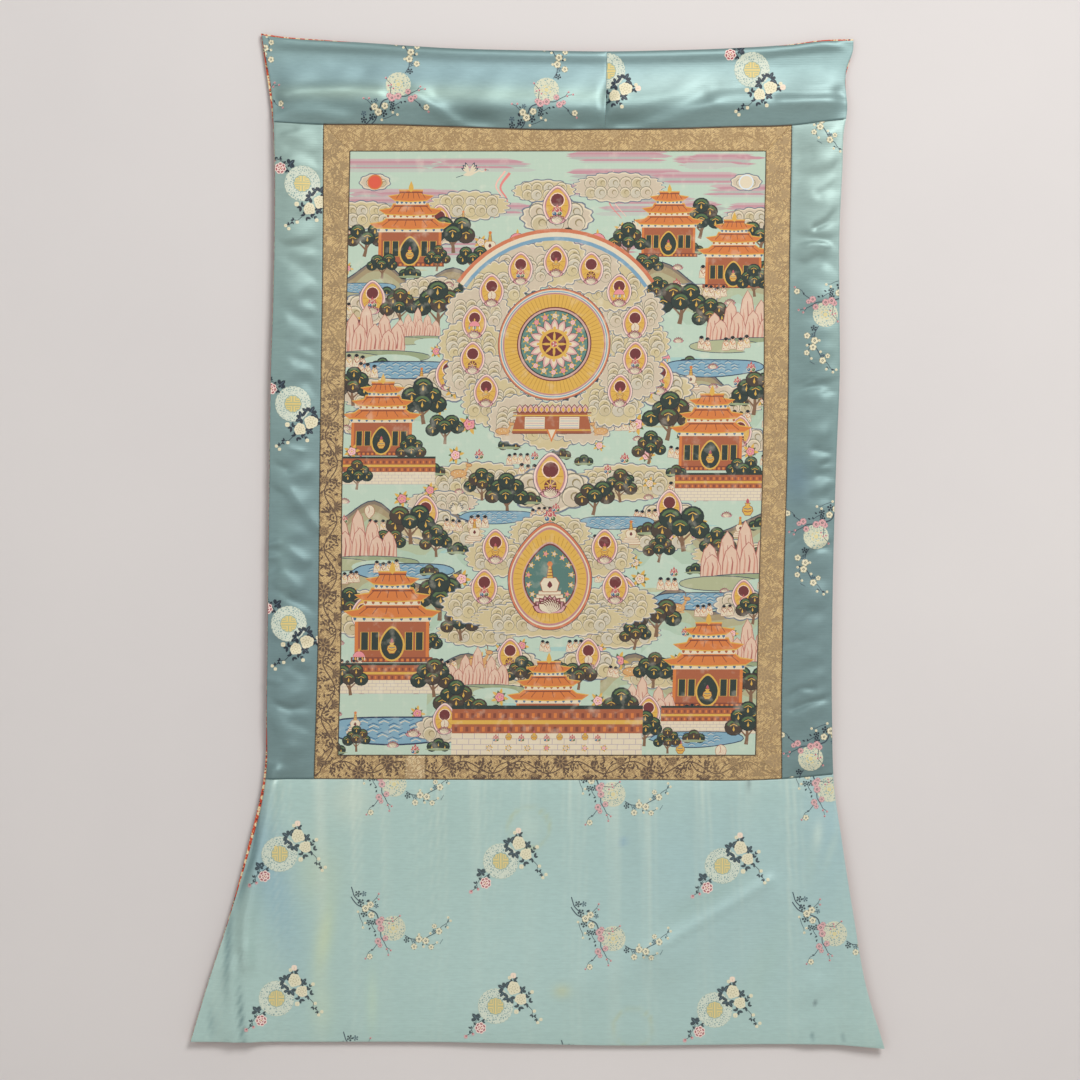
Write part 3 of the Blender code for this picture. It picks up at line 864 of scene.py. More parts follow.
@dataclass
class Sheet:
    """One piece of cloth, as a closed sheet with turned edges.

    Args:
        node: the CAD node that it stands for.
        cut: its edges.
        face: its front surface, as a distance from the wall.
        tone: its colours.
        material: its finish.
        slot: the record's slot that the finish belongs to; not used.
        pitch: how far apart its points are, across and down.
        thick: its thickness.
    """

    node: str
    cut: Cut
    face: Surface
    tone: Tone
    material: bpy.types.Material
    slot: str
    pitch: Point
    thick: float = 1.0

    def build(self) -> bpy.types.Object:
        """Returns:
            The piece's object.
        """
        width, length = self.cut.size()
        columns, rows = stops(width, self.pitch[0]), stops(length, self.pitch[1])
        bm = bmesh.new()
        bmesh.ops.create_grid(bm, x_segments=len(columns) - 1, y_segments=len(rows) - 1, size=0.5)
        lifted = bmesh.ops.extrude_face_region(bm, geom=bm.faces[:], use_keep_orig=True)
        front = [item for item in lifted["geom"] if isinstance(item, bmesh.types.BMVert)]
        bmesh.ops.translate(bm, verts=front, vec=(0, 0, 1))
        bmesh.ops.recalc_face_normals(bm, faces=bm.faces[:])
        bm.faces.sort(key=lambda face: face.calc_center_median().z)
        mesh = bpy.data.meshes.new(f"{self.node}_cloth")
        bm.to_mesh(mesh)
        bm.free()
        self.drape(mesh, columns, rows)
        lay_flat_map(mesh)
        mesh.shade_smooth()
        mesh.set_sharp_from_angle(angle=math.radians(60))
        piece = add_piece(mesh.name, mesh, self.material)
        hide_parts(self.node)
        area = min(self.cut.area(), width * length) * MM * MM
        log.info("%s: %d faces, cut %.0f x %.0f mm, %.4f m2", mesh.name, len(mesh.polygons), width,
            length, area)
        return piece

    def drape(self, mesh: bpy.types.Mesh, columns: list[float], rows: list[float]) -> None:
        """Moves the flat grid's points to where the cloth hangs, and colours them.

        Args:
            mesh: the grid, back at height 0 and front at height 1.
            columns, rows: the parts of the width and length where its lines lie.
        """
        width, length = self.cut.size()
        places = np.empty(len(mesh.vertices) * 3)
        mesh.vertices.foreach_get("co", places)
        places = places.reshape(-1, 3)
        across = np.array(columns)[np.rint((places[:, 0] + 0.5) * (len(columns) - 1)).astype(int)]
        down = np.array(rows)[np.rint((0.5 - places[:, 1]) * (len(rows) - 1)).astype(int)]
        x, z = self.cut.place(across, down)
        inside = np.minimum.reduce([across * width, (1 - across) * width, down * length,
            (1 - down) * length])
        turned = 0.42 * self.thick * np.exp(-((inside / 0.9) ** 2))
        behind = np.where(places[:, 2] > 0.5, turned, self.thick - turned * 0.2)
        y = behind - self.face(x, z)
        mesh.vertices.foreach_set("co", (np.column_stack([x, y, z]) * MM).ravel())
        mesh.update()
        tones = mesh.color_attributes.new("tone", "FLOAT_COLOR", "POINT")
        tones.data.foreach_set("color", self.tone(x, z).ravel())


# ---------------------------------------------------------------- drawn surfaces


class Drawing:
    """Flat coloured shapes, each over the ones before it."""

    def __init__(self) -> None:
        """Starts an empty drawing."""
        self.shapes: list[tuple[Array, str]] = []

    def patch(self, outline: Iterable[Point] | Array, colour: str) -> None:
        """Adds a closed outline."""
        points = np.array(outline, float)
        after = np.roll(points, -1, 0)
        turning = (points[:, 0] * after[:, 1] - after[:, 0] * points[:, 1]).sum()
        self.shapes.append((points if turning > 0 else points[::-1], colour))

    def disc(self, x: float, z: float, radius: float, colour: str, flat: float = 1.0,
            lean: float = 0.0) -> None:
        """Adds a disc, or an oval that is flattened and leans."""
        steps = int(min(36, max(6, 5 + radius * 1.5)))
        angles = np.arange(steps) / steps * math.tau
        across, up = radius * np.cos(angles), radius * flat * np.sin(angles)
        turn = math.radians(lean)
        outline = (x + across * math.cos(turn) - up * math.sin(turn), z + across * math.sin(turn)
            + up * math.cos(turn))
        self.patch(np.column_stack(outline), colour)

    def arc(self, x: float, z: float, radii: Point, angles: Point, colour: str,
            flat: float = 1.0) -> None:
        """Adds a part of a ring, between two radii and two angles in degrees."""
        steps = max(4, int(abs(angles[1] - angles[0]) / 12 + radii[1] / 12))
        sweep = np.radians(np.linspace(*angles, steps))
        outer = np.column_stack([x + radii[1] * np.cos(sweep), z + flat * radii[1] * np.sin(sweep)])
        inner = np.column_stack([x + radii[0] * np.cos(sweep), z + flat * radii[0] * np.sin(sweep)])
        self.patch(np.concatenate([outer, inner[::-1]]), colour)

    def line(self, points: Sequence[Point], width: float, colour: str, end: float | None = None,
            smooth: int = 4) -> None:
        """Adds a brushed or woven line through the points.

        Args:
            points: the places that it passes through.
            width: how wide it starts.
            colour: its colour.
            end: how wide it ends, if not the same.
            smooth: how many steps each stretch has, or 1 for straight stretches.
        """
        way = smoothed(points, smooth)
        step = np.gradient(way, axis=0)
        step /= np.maximum(np.hypot(step[:, 0], step[:, 1]), 1e-9)[:, None]
        half = np.linspace(width, width if end is None else end, len(way))[:, None] / 2
        side = np.column_stack([-step[:, 1], step[:, 0]]) * half
        left, right = way + side, way - side
        for i in range(len(way) - 1):
            self.patch([left[i], right[i], right[i + 1], left[i + 1]], colour)

    def petal(self, x: float, z: float, length: float, width: float, lean: float, colour: str,
            fullest: float = 0.6) -> None:
        """Adds a petal or leaf from its root.

        Args:
            x, z: its root.
            length, width: its size.
            lean: the way it points, in degrees from the right.
            colour: its colour.
            fullest: the part of its length where it is widest.
        """
        power = math.log(0.5) / math.log(fullest)
        t = np.linspace(0, 1, max(4, min(8, int(abs(length) / 2) + 3)))
        half = np.maximum(np.sin(math.pi * t**power), 0) * width / 2
        along = np.concatenate([t, t[-2:0:-1]]) * length
        aside = np.concatenate([half, -half[-2:0:-1]])
        turn = math.radians(lean)
        outline = (x + along * math.cos(turn) - aside * math.sin(turn), z + along * math.sin(turn)
            + aside * math.cos(turn))
        self.patch(np.column_stack(outline), colour)

    def scallops(self, x: float, z: float, radius: float, lobes: int, colour: str,
            depth: float = 0.16, flat: float = 1.0, lean: float = 0.0) -> None:
        """Adds a disc with a scalloped edge."""
        angles = np.arange(lobes * 4) / (lobes * 4) * math.tau
        reach = radius * (1 - depth + depth * np.abs(np.sin(lobes * (angles - math.radians(lean))
            / 2)))
        outline = (x + reach * np.cos(angles), z + flat * reach * np.sin(angles))
        self.patch(np.column_stack(outline), colour)

    def add(self, other: "Drawing", x: float = 0, z: float = 0, lean: float = 0,
            size: float = 1) -> None:
        """Adds another drawing, turned, sized and moved."""
        turn = math.radians(lean)
        way = size * np.array([[math.cos(turn), math.sin(turn)], [-math.sin(turn), math.cos(turn)]])
        self.shapes += [(outline @ way + (x, z), colour) for outline, colour in other.shapes]

    def warped(self, way: Callable[[Array], Array]) -> "Drawing":
        """The drawing with all its points moved by a function."""
        made = Drawing()
        for outline, colour in self.shapes:
            made.patch(way(outline), colour)
        return made


def woven(colour: str) -> tuple[float, ...]:
    """A drawn colour's linear values; an n after it marks silk woven as an open net."""
    return (*linear(colour[:7])[:3], 0.5 if colour.endswith("n") else 1.0)


def smoothed(points: Sequence[Point] | Array, steps: int) -> Array:
    """A smooth way through the points, with so many steps to a stretch."""
    way = np.array(points, float)
    if steps < 2 or len(way) < 3:
        return way
    ends = np.concatenate([2 * way[:1] - way[1:2], way, 2 * way[-1:] - way[-2:-1]])
    t = (np.arange(steps) / steps)[:, None]
    made = []
    for before, start, stop, after in zip(ends, ends[1:], ends[2:], ends[3:]):
        bend = 2 * before - 5 * start + 4 * stop - after
        twist = 3 * start - before - 3 * stop + after
        made.append(start + 0.5 * (t * (stop - before) + t**2 * bend + t**3 * twist))
    return np.concatenate([*made, way[-1:]])


@dataclass
class Skin:
    """A drawing as one thin closed skin that lies on the cloth, each colour in its own faces.

    Args:
        name: the piece's name.
        drawing: its shapes.
        clip: the outline that it is cut to.
        face: the cloth's surface, as a distance from the wall.
        material: its finish.
        slot: the record's slot that the finish belongs to; not used.
        ground: the colour between the shapes, or None where the cloth shows.
        pitch: how far apart its points are at most, so that it follows the folds.
        level: how far it stands off the cloth.
        tint: turns a colour, at its place, to the one that shows.
        lines: the places of the grid's lines, once they are made.
    """

    name: str
    drawing: Drawing
    clip: Array
    face: Surface
    material: bpy.types.Material
    slot: str
    ground: str | None = None
    pitch: float = 3.0
    level: float = 0.24
    tint: Callable[[Array, Array], Array] | None = None
    lines: tuple[set[float], set[float]] = field(default_factory=lambda: (set(), set()))

    def triangles(self) -> tuple[Array, Array, list[str]]:
        """Cuts the overlapping shapes into triangles of one colour each.

        Returns:
            The points, the triangles, and the triangles' colours.
        """
        low, high = self.clip.min(0), self.clip.max(0)
        outlines, colours = [self.clip], [self.ground]
        for outline, colour in self.drawing.shapes:
            if (outline.max(0) > low).all() and (outline.min(0) < high).all():
                outlines.append(outline)
                colours.append(colour)
        starts = np.cumsum([0] + [len(outline) for outline in outlines])
        faces = [list(range(start, stop)) for start, stop in zip(starts, starts[1:])]
        points = [Vector(point) for outline in outlines for point in outline]
        if self.ground is None:
            shown = np.concatenate(outlines[1:])
            low, high = np.maximum(low, shown.min(0)), np.minimum(high, shown.max(0))
        edges = []
        for axis in (0, 1):
            count = max(1, math.ceil((high[axis] - low[axis]) / self.pitch))
            for at in np.linspace(low[axis], high[axis], count + 1)[1:-1]:
                for end in (low[1 - axis] - 0.5, high[1 - axis] + 0.5):
                    points.append(Vector((at, end) if axis == 0 else (end, at)))
                edges.append((len(points) - 2, len(points) - 1))
                self.lines[axis].add(round(float(at), 1))
        for _ in range(4):
            places, _, cut, _, _, owners = delaunay_2d_cdt(points, edges, faces, 1, 1e-4)
            leaked = self.leaks(places, cut, owners, outlines)
            if not leaked:
                break
            for shape in leaked:
                for i in faces[shape]:
                    points[i] = points[i] + Vector((0.013, -0.009 + 0.0007 * (i % 7)))
        kept = []
        for triangle, owner in zip(cut, owners):
            shapes = [shape for shape in owner if shape not in leaked]
            if 0 in owner and colours[max(shapes)] is not None:
                kept.append((triangle, colours[max(shapes)]))
        corners = np.array([triangle for triangle, _ in kept])
        used, corners = np.unique(corners, return_inverse=True)
        places = np.array([tuple(place) for place in places])[used]
        return places, corners.reshape(-1, 3), [colour for _, colour in kept]

    def leaks(self, places: list[Vector], cut: list[list[int]], owners: list[list[int]],
            outlines: list[Array]) -> set[int]:
        """The shapes that the cut spread beyond their outline, as happens where edges all but meet.

        Args:
            places, cut, owners: the cut's points, triangles, and each triangle's shapes.
            outlines: the shapes' own outlines.

        Returns:
            The shapes that cover more than their outline does.
        """
        flat = np.array([tuple(place) for place in places])
        a, b, c = (flat[[triangle[i] for triangle in cut]] for i in range(3))
        areas = np.abs((b - a)[:, 0] * (c - a)[:, 1] - (b - a)[:, 1] * (c - a)[:, 0]) / 2
        covered = np.zeros(len(outlines))
        for area, owner in zip(areas, owners):
            covered[owner] += area
        true = np.array([abs(line[:, 0] @ np.roll(line[:, 1], -1) - line[:, 1] @ np.roll(line[:, 0],
            -1)) / 2 for line in outlines])
        return {int(i) for i in np.flatnonzero(covered > true * 1.25 + 6) if i}

    def build(self) -> bpy.types.Object | None:
        """Makes the piece.

        Returns:
            The piece's object, or None where no shape reaches the clip.
        """
        places, corners, colours = self.triangles()
        if not len(corners):
            return None
        flat = bpy.data.meshes.new(self.name)
        flat.from_pydata(np.insert(places, 1, -1.0, axis=1).tolist(), [], corners.tolist())
        inks = {colour: i for i, colour in enumerate(dict.fromkeys(colours))}
        flat.polygons.foreach_set("material_index", [inks[colour] for colour in colours])
        bm = bmesh.new()
        bm.from_mesh(flat)
        self.simplify(bm, set(bm.faces), {"MATERIAL"})
        bmesh.ops.triangulate(bm, faces=bm.faces)
        bmesh.ops.dissolve_degenerate(bm, dist=0.004, edges=bm.edges)
        bmesh.ops.triangulate(bm, faces=bm.faces)
        stray = [edge for edge in bm.edges if not edge.link_faces]
        bmesh.ops.delete(bm, geom=stray, context="EDGES")
        self.part_touching(bm)
        front = bm.faces[:]
        lowered = bmesh.ops.extrude_face_region(bm, geom=front, use_keep_orig=True)
        behind = [item for item in lowered["geom"] if isinstance(item, bmesh.types.BMVert)]
        bmesh.ops.translate(bm, verts=behind, vec=(0, 1, 0))
        back = [item for item in lowered["geom"] if isinstance(item, bmesh.types.BMFace)]
        bmesh.ops.reverse_faces(bm, faces=bm.faces)
        self.simplify(bm, set(back), set())
        bmesh.ops.triangulate(bm, faces=[face for face in bm.faces if len(face.verts) > 4])
        rank = {face: 2 for face in front}
        bm.faces.sort(key=lambda face: rank.get(face, 0))
        bm.to_mesh(flat)
        bm.free()
        self.colour(flat, np.array([woven(colour) for colour in inks]))
        self.lay(flat)
        lay_flat_map(flat)
        flat.shade_smooth()
        flat.set_sharp_from_angle(angle=math.radians(60))
        piece = add_piece(self.name, flat, self.material)
        log.info("%s: %d faces", self.name, len(flat.polygons))
        return piece

    def part_touching(self, bm: bmesh.types.BMesh) -> None:
        """Draws shapes a hair apart where they touch in one point alone."""
        for vert in bm.verts[:]:
            rims = [edge for edge in vert.link_edges if edge.is_boundary]
            if len(rims) > 2:
                for corner in bmesh.utils.vert_separate(vert, rims):
                    middles = [face.calc_center_median() for face in corner.link_faces]
                    corner.co += (sum(middles, Vector()) / len(middles) - corner.co) * 0.02

    def colour(self, mesh: bpy.types.Mesh, inks: Array) -> None:
        """Turns the faces' ink numbers into their tone."""
        count = len(mesh.polygons)
        numbers, corners, middles = np.zeros(count, int), np.zeros(count, int), np.zeros(count * 3)
        mesh.polygons.foreach_get("material_index", numbers)
        mesh.polygons.foreach_get("loop_total", corners)
        mesh.polygons.foreach_get("center", middles)
        seen = inks[numbers]
        if self.tint is not None:
            seen = self.tint(seen, middles.reshape(-1, 3)[:, ::2])
        layer = mesh.color_attributes.new("tone", "FLOAT_COLOR", "CORNER")
        layer.data.foreach_set("color", np.repeat(seen, corners, axis=0).ravel())
        mesh.polygons.foreach_set("material_index", np.zeros(count, int))

    def simplify(self, bm: bmesh.types.BMesh, faces: set[bmesh.types.BMFace],
            apart: set[str]) -> None:
        """Joins faces, but for those on different sides of a grid line.

        Args:
            bm: the skin while it is still flat.
            faces: the faces that may be joined.
            apart: what keeps two faces apart.
        """

        def on_line(edge: bmesh.types.BMEdge) -> bool:
            """Whether an edge lies on a line of the grid."""
            start, stop = (vert.co for vert in edge.verts)
            return any(abs(start[axis] - stop[axis]) < 0.01 and round(start[axis], 1) in lines
                for axis, lines in ((0, self.lines[0]), (2, self.lines[1])))

        verts = {vert for face in faces for vert in face.verts}
        edges = {edge for face in faces for edge in face.edges}
        bmesh.ops.dissolve_limit(bm, angle_limit=0.02,
            verts=[vert for vert in verts if all(face in faces for face in vert.link_faces)],
            edges=[edge for edge in edges if all(face in faces for face in edge.link_faces)
            and not on_line(edge)], delimit=apart)

    def lay(self, mesh: bpy.types.Mesh) -> None:
        """Lays the flat skin, front at -1 and back at 0, on the cloth."""
        places = np.empty(len(mesh.vertices) * 3)
        mesh.vertices.foreach_get("co", places)
        places = places.reshape(-1, 3)
        off = np.where(places[:, 1] < -0.5, self.level, -0.3)
        places[:, 1] = -self.face(places[:, 0], places[:, 2]) - off
        mesh.vertices.foreach_set("co", (places * MM).ravel())
        mesh.update()


# ---------------------------------------------------------------- woven flowers


class Turn(Enum):
    """How a length of satin was turned when it was cut, in degrees."""

    UPRIGHT = 0
    CLOCKWISE = -90
    COUNTER = 90


NAVY, SLATE = "#1c2834", "#465c68"
CREAM, CREAM_SHADE, PINK, CRIMSON = "#ded5b4", "#b5a982", "#d3a19f", "#a04650"
GOLD_SILK, NET_SILK, NET_GOLD = "#d8c077", "#ced4c1n", "#cfcdb0n"


def paths(count: int, text: str) -> list[tuple]:
    """A table with a line of the drawing on each line: so many sizes, then the points."""
    made = []
    for line in text.strip().split("\n"):
        numbers = [float(part) for part in line.split()]
        points = list(zip(numbers[count::2], numbers[count + 1 :: 2]))
        made.append((*numbers[:count], points))
    return made


def ivy_leaf(drawing: Drawing, x: float, z: float, size: float, lean: float, colour: str) -> None:
    """A three-lobed toothed leaf, woven in one colour with a paler vein."""
    x, z = around(x, z, 0.22 * size, lean)
    for turn, reach in ((-62, 0.82), (62, 0.82), (0, 1.0)):
        tip = around(x, z, size * reach, lean + turn)
        drawing.petal(x, z, size * reach, size * 0.52, lean + turn, colour, 0.55)
        for side in (-28, 28):
            root = (x + 0.45 * (tip[0] - x), z + 0.45 * (tip[1] - z))
            drawing.petal(*root, size * 0.42, size * 0.24, lean + turn + side, colour, 0.5)
    drawing.line([(x, z), around(x, z, 0.7 * size, lean)], size * 0.09, SLATE)


def small_leaf(drawing: Drawing, x: float, z: float, size: float, lean: float, colour: str) -> None:
    """A pair of small pointed leaves."""
    drawing.petal(x, z, size, size * 0.5, lean + 24, colour, 0.5)
    drawing.petal(x, z, size * 0.85, size * 0.45, lean - 38, colour, 0.5)


def chrysanthemum(drawing: Drawing, x: float, z: float, radius: float) -> None:
    """A full cream flower with uneven petals curving in, drawn by their shaded edges."""
    for i in range(8):
        reach = radius * (0.62, 0.7, 0.56, 0.74, 0.6, 0.68, 0.74, 0.58)[i]
        spot = around(x, z, reach, 45 * i + 10 * x)
        drawing.disc(*spot, radius * 0.4, CREAM, 0.8, 45 * i + 10 * x + 90)
    drawing.disc(x, z, radius * 0.66, CREAM)
    for ring, count, curl in ((0.72, 8, 34), (0.36, 5, -40)):
        for i in range(count):
            angle = 360 * i / count + ring * 90
            root = around(x, z, ring * radius, angle)
            drawing.petal(*root, radius * 0.36, radius * 0.11, angle + 180 + curl, CREAM_SHADE, 0.5)


class PeonySpray:
    """A netted roundel with a gold fret, crossed by chrysanthemums and a peony."""

    def draw(self) -> Drawing:
        """The spray as woven on the skirt, upright."""
        made = Drawing()
        self.roundel(made)
        self.stems(made)
        self.leaves(made)
        chrysanthemum(made, 27.8, 7.6, 6.7)
        chrysanthemum(made, 19.8, 19.6, 7.6)
        self.buds(made)
        self.peony(made, -16.7, -24.0, 6.6)
        return made

    def roundel(self, made: Drawing) -> None:
        """The net and the fret in its middle."""
        made.scallops(0, 0, 19.6, 26, "#c3c9b2", 0.03)
        made.disc(0, 0, 19.0, NET_SILK)
        made.disc(0, 0, 9.6, "#8ea79a")
        made.scallops(0, 0, 8.9, 10, GOLD_SILK, 0.07)
        ink = "#a6ad86"
        for side in (-1, 1):
            made.line([(1.5 * side, -7.9), (1.5 * side, 7.9)], 1.0, ink)
            made.line([(2.4 * side, 0), (8.2 * side, 0)], 1.1, ink)
            for up in (-1, 1):
                hook = [(3.7, 7.0), (3.7, 2.9), (7.2, 2.9), (5.8, 5.0)]
                made.line([(u * side, v * up) for u, v in hook], 0.95, ink, smooth=1)

    def stems(self, made: Drawing) -> None:
        """The thin dark stems."""
        for width, way in paths(1, """
            0.55  -21 -15.6 -24.8 -23.1 -26.5 -25.7 -29 -30.7 -32 -32.4
            0.55  27.8 5.5 35.3 0.4 40.4 -5 40.4 -9.7 46.3 -14.7
            0.5  -26.5 -25.7 -25.2 -29.9
            0.5  34.9 8.8 35.3 12.2 38.7 14.7
            0.5  20 27 19 33
            0.55  -14 -15 -19 -19 -17 -24
            """):
            made.line(way, width, NAVY)

    def leaves(self, made: Drawing) -> None:
        """The ivy-like leaves and the small ones along the stems."""
        for x, z, size, lean in rows_of(4, """
            10.5 18.5 6.6 150, 10 19.5 6.2 60, 9.3 16.5 5.6 235, 15.5 9.8 6 200, 14.8 10.5 6.4 300,
            27.5 15.8 5.6 50, 29 17.5 4 215, -19.5 -15.5 6.8 130, -22 -13.5 4.4 20"""):
            ivy_leaf(made, x, z, 1.16 * size, lean, NAVY)
        for x, z, size, lean in rows_of(4, """
            18.6 27.4 4.6 175, 19.6 28.6 5.2 10, 34 9 4.6 70, 36.6 4.6 4.8 40, 34.6 3.2 4.6 250,
            25.4 -0.6 5 150, 25.6 -1 5.4 320, -15 -17 4 20, -22 -21 3.6 100, -27 -25 3.4 120,
            -28.6 -30 3 60, 40.2 -9 3.6 250, 42 -11 3 10, 45.4 -14.4 3.6 240, 36.2 12.8 3.2 60"""):
            small_leaf(made, x, z, 1.12 * size, lean, NAVY)

    def buds(self, made: Drawing) -> None:
        """The cream buds at the ends of the stems."""
        for x, z, size in rows_of(3, """
            19.4 33.6 3.4, 15.4 31.2 2.2, 22.7 -6 2.8, 42.5 -5.5 2, 49.7 -14.7 2, 46.3 -18.1 1.9,
            40 15.6 2.2"""):
            made.scallops(x, z, size, 4, CREAM if size < 3 else "#ecd3bd", 0.12)
            made.petal(x, z - size * 0.7, size * 1.1, size * 0.14, 90, CREAM_SHADE, 0.5)
        made.scallops(-32.8, -33.7, 2.3, 4, PINK, 0.15)
        made.disc(-32.4, -33.0, 1.0, CRIMSON)
        made.disc(-24.8, -30.9, 1.7, PINK)
        made.disc(-25.2, -30.3, 0.9, CRIMSON)

    def peony(self, made: Drawing, x: float, z: float, radius: float) -> None:
        """The small peony, cream with crimson petal edges."""
        made.scallops(x, z, radius, 7, "#ecd0c4", 0.16)
        for i in range(7):
            start = 360 * i / 7 + 8
            made.arc(x, z, (radius * 0.56, radius * 0.8), (start, start + 36), CRIMSON)
        for i in range(4):
            start = 90 * i + 30
            made.arc(x, z, (radius * 0.24, radius * 0.4), (start, start + 52), CRIMSON)
        made.disc(x, z, radius * 0.14, "#b98b52")


def plum_blossom(made: Drawing, x: float, z: float, radius: float, petals: str, rim: str,
        lean: float = 0) -> None:
    """A flat flower of five round petals over a darker rim, with a dark ring around its eye."""
    made.scallops(x, z, radius * 1.05, 5, rim, 0.2, lean=lean)
    for i in range(5):
        made.disc(*around(x, z, radius * 0.6, 72 * i + lean), radius * 0.42, petals)
    made.disc(x, z, radius * 0.36, "#4d5653")
    made.disc(x, z, radius * 0.17, petals)


class PlumSpray:
    """A small netted roundel crossed by branches of plum blossom."""

    def draw(self) -> Drawing:
        """The spray as woven on the skirt, upright."""
        made = Drawing()
        made.scallops(0, 0, 13.8, 20, "#cdceb2", 0.03)
        made.disc(0, 0, 13.2, NET_GOLD)
        for i in range(5):
            made.arc(0, 0, (4.2, 5.4), (72 * i, 72 * i + 44), "#d6c78f")
        made.disc(0, 0, 2.4, "#d6c78f")
        self.branches(made)
        self.leaves(made)
        self.blossoms(made)
        self.buds(made)
        return made

    def branches(self, made: Drawing) -> None:
        """The old branches, thick, and the twigs."""
        for width, end, way in paths(2, """
            1.1 1.2  -45.8 45.6 -44.4 41 -42.6 35.6 -38.5 31 -35.3 28.3
            1.1 1.3  -46.2 34.7 -43.5 30.6 -39.4 26 -34.8 23.7 -30.3 21.9
            1.2 1.4  -28 21 -25.7 20.1 -20.7 18.2 -18 15.5 -16.6 11.9 -15.2 7.3
            0.7 0.4  -25.7 26.5 -22.5 29.2 -18.4 33.3 -15.7 37.9
            0.5 0.4  -18.4 33.3 -16.2 32
            0.6 0.4  -38.5 18.2 -37.6 16.4 -35.8 10.5 -33.5 5.5 -33.5 0.9
            0.8 0.5  -23.4 8.2 -23 2.7 -18.9 -3.6
            1 0.6  -13.4 0 -13.4 -9.1 -10.2 -14.6 -7 -21
            0.6 0.4  -7 -21 -2.5 -23.7
            0.5 0.4  -7 -21 -5 -28.7
            0.8 0.4  -16.6 -15.5 -18 -17.8 -22.5 -23.7 -26.6 -26 -29.8 -32.8
            0.8 0.4  -10.7 8.7 -0.2 8.2 4.8 11.9 8.5 14.1
            0.9 0.8  13 -7.8 19.4 -11.4 24.4 -11.9 33.1 -12.3 38.6 -9.1 45 -5.9
            0.8 0.4  45 -5.9 50.4 -3.2 52.7 1.4 59.6 6.4 60.9 10.9
            0.6 0.4  19.4 -11.4 22.2 -17.3
            0.6 0.4  34 -14.6 37.7 -18.2 45 -17.8 48.6 -14.6
            0.5 0.4  51.4 -17.3 54.5 -11.9
            0.5 0.4  58.2 4.6 60.5 0.9
            0.5 0.4  59.6 6.4 63.2 8.2
            0.5 0.4  45 -5.9 45 0
            """):
            made.line(way, width, "#33424e", end)

    def leaves(self, made: Drawing) -> None:
        """The clusters of small dark leaves."""
        for colour, clusters in (
            (NAVY, """-38.5 37.9 3.2, -35.3 28.7 3.4, -31.7 16 3.6, -26.6 6.4 3, -20.2 6.8 3,
                14.9 -12.8 3"""),
            (SLATE, "-32.1 37.9 2.8, 24 -13.7 2.4, 45 -3.6 2.4, -18.4 24.6 2.4"),
        ):
            for x, z, size in rows_of(3, clusters):
                for i in range(6):
                    far = size * 0.78 if i < 5 else 0.0
                    made.disc(*around(x, z, far, 72 * i + 17 * x), size * 0.36, colour)
        for x, z, size, lean in rows_of(4, """
            -29.5 29 4.6 30, -20.6 28.2 2.8 30, -24.8 1 3.2 235, -18.9 -3 3 200, -18.9 -6 3.4 250,
            -21.6 -24 3 170, 58.2 3 2.6 250, 59.6 6.8 2.8 60, 32.7 -16.6 3 270"""):
            made.petal(x, z, size, size * 0.55, lean, NAVY, 0.5)

    def blossoms(self, made: Drawing) -> None:
        """The pink blossoms by the roundel, and the cream ones."""
        for x, z, radius in rows_of(3, """
            -12.5 10 3, -15.2 6.8 4, -13.4 0 3.8, -8.4 -10.9 3.2, -14.3 -18.7 2.6,
            -16.6 -14.1 3.6"""):
            plum_blossom(made, x, z, radius, PINK, "#a8737a", 17 * x)
        for x, z, radius in rows_of(3, """
            -30.3 21.9 4, -24.8 26 3.7, -23.9 14.6 3.7, 28.5 -11.9 3.9, 35.8 -13.7 3.8,
            23.1 -20.1 3.4, 50.4 -3.2 3.7, 45.4 2.3 2.7, -25.7 -31 3.2, 41.8 -20.5 3"""):
            plum_blossom(made, x, z, radius, CREAM, "#8c8468", 23 * x)

    def buds(self, made: Drawing) -> None:
        """The buds at the ends of the twigs."""
        for x, z in rows_of(2, """
            -15.7 37.9, -15.7 31.9, -7 -22.8, -2.5 -24.2, -5.2 -29.2, -4.3 5.5, -1.1 10.9, -0.2 7.8,
            7.6 13.7, -30.3 -33.3"""):
            made.disc(x, z, 1.25, PINK)
            made.disc(x - 0.3, z - 0.3, 0.7, CRIMSON)
        for x, z in rows_of(2, """
            -38.5 18.2, -30.7 5.9, -33 0.9, 28.5 -6.8, 40.9 -5.5, 60 0.9, 63.2 8.2, 60.5 11.9,
            33.6 -20.1, 48.2 -15.5"""):
            made.disc(x, z, 1.5, CREAM)
            made.disc(x + 0.3, z - 0.3, 0.6, CREAM_SHADE)


class Spray(Enum):
    """The two sprays of the satin's repeat."""

    PEONY = "peony"
    PLUM = "plum"


# Where the sprays fall: panel, spray, turn, and the places
SPRAYS = (
    ("skirt", Spray.PEONY, Turn.UPRIGHT, """
        -304.3 -882.4, -61.8 -890.4, 181.7 -895.6,
        -308.1 -1041.2, -67.4 -1049.4, 173.2 -1053.9"""),
    ("skirt", Spray.PLUM, Turn.UPRIGHT, """
        -180.1 -964.2, 61.6 -975.4, 304.6 -969.8, -179 -805.9,
        61.6 -817, 299 -811.5, -189.2 -1122.8, 50.6 -1132.7"""),
    ("side_panel_left", Spray.PEONY, Turn.CLOCKWISE, "-279.5 -146.4, -289.7 -388.3, -294.3 -629.4"),
    ("side_panel_right", Spray.PLUM, Turn.CLOCKWISE, """
        302.5 -48.1, 294.4 -290.3,
        284.2 -533.9, 278.3 -777.4"""),
    ("top_panel_right", Spray.PEONY, Turn.CLOCKWISE, "214.3 -21.2, 55.4 -22.8"),
    ("top_panel_left", Spray.PLUM, Turn.COUNTER, "-174.2 -37.7, -11.6 -44, -334.4 -32.7"),
)


# ---------------------------------------------------------------- the brocade's scroll


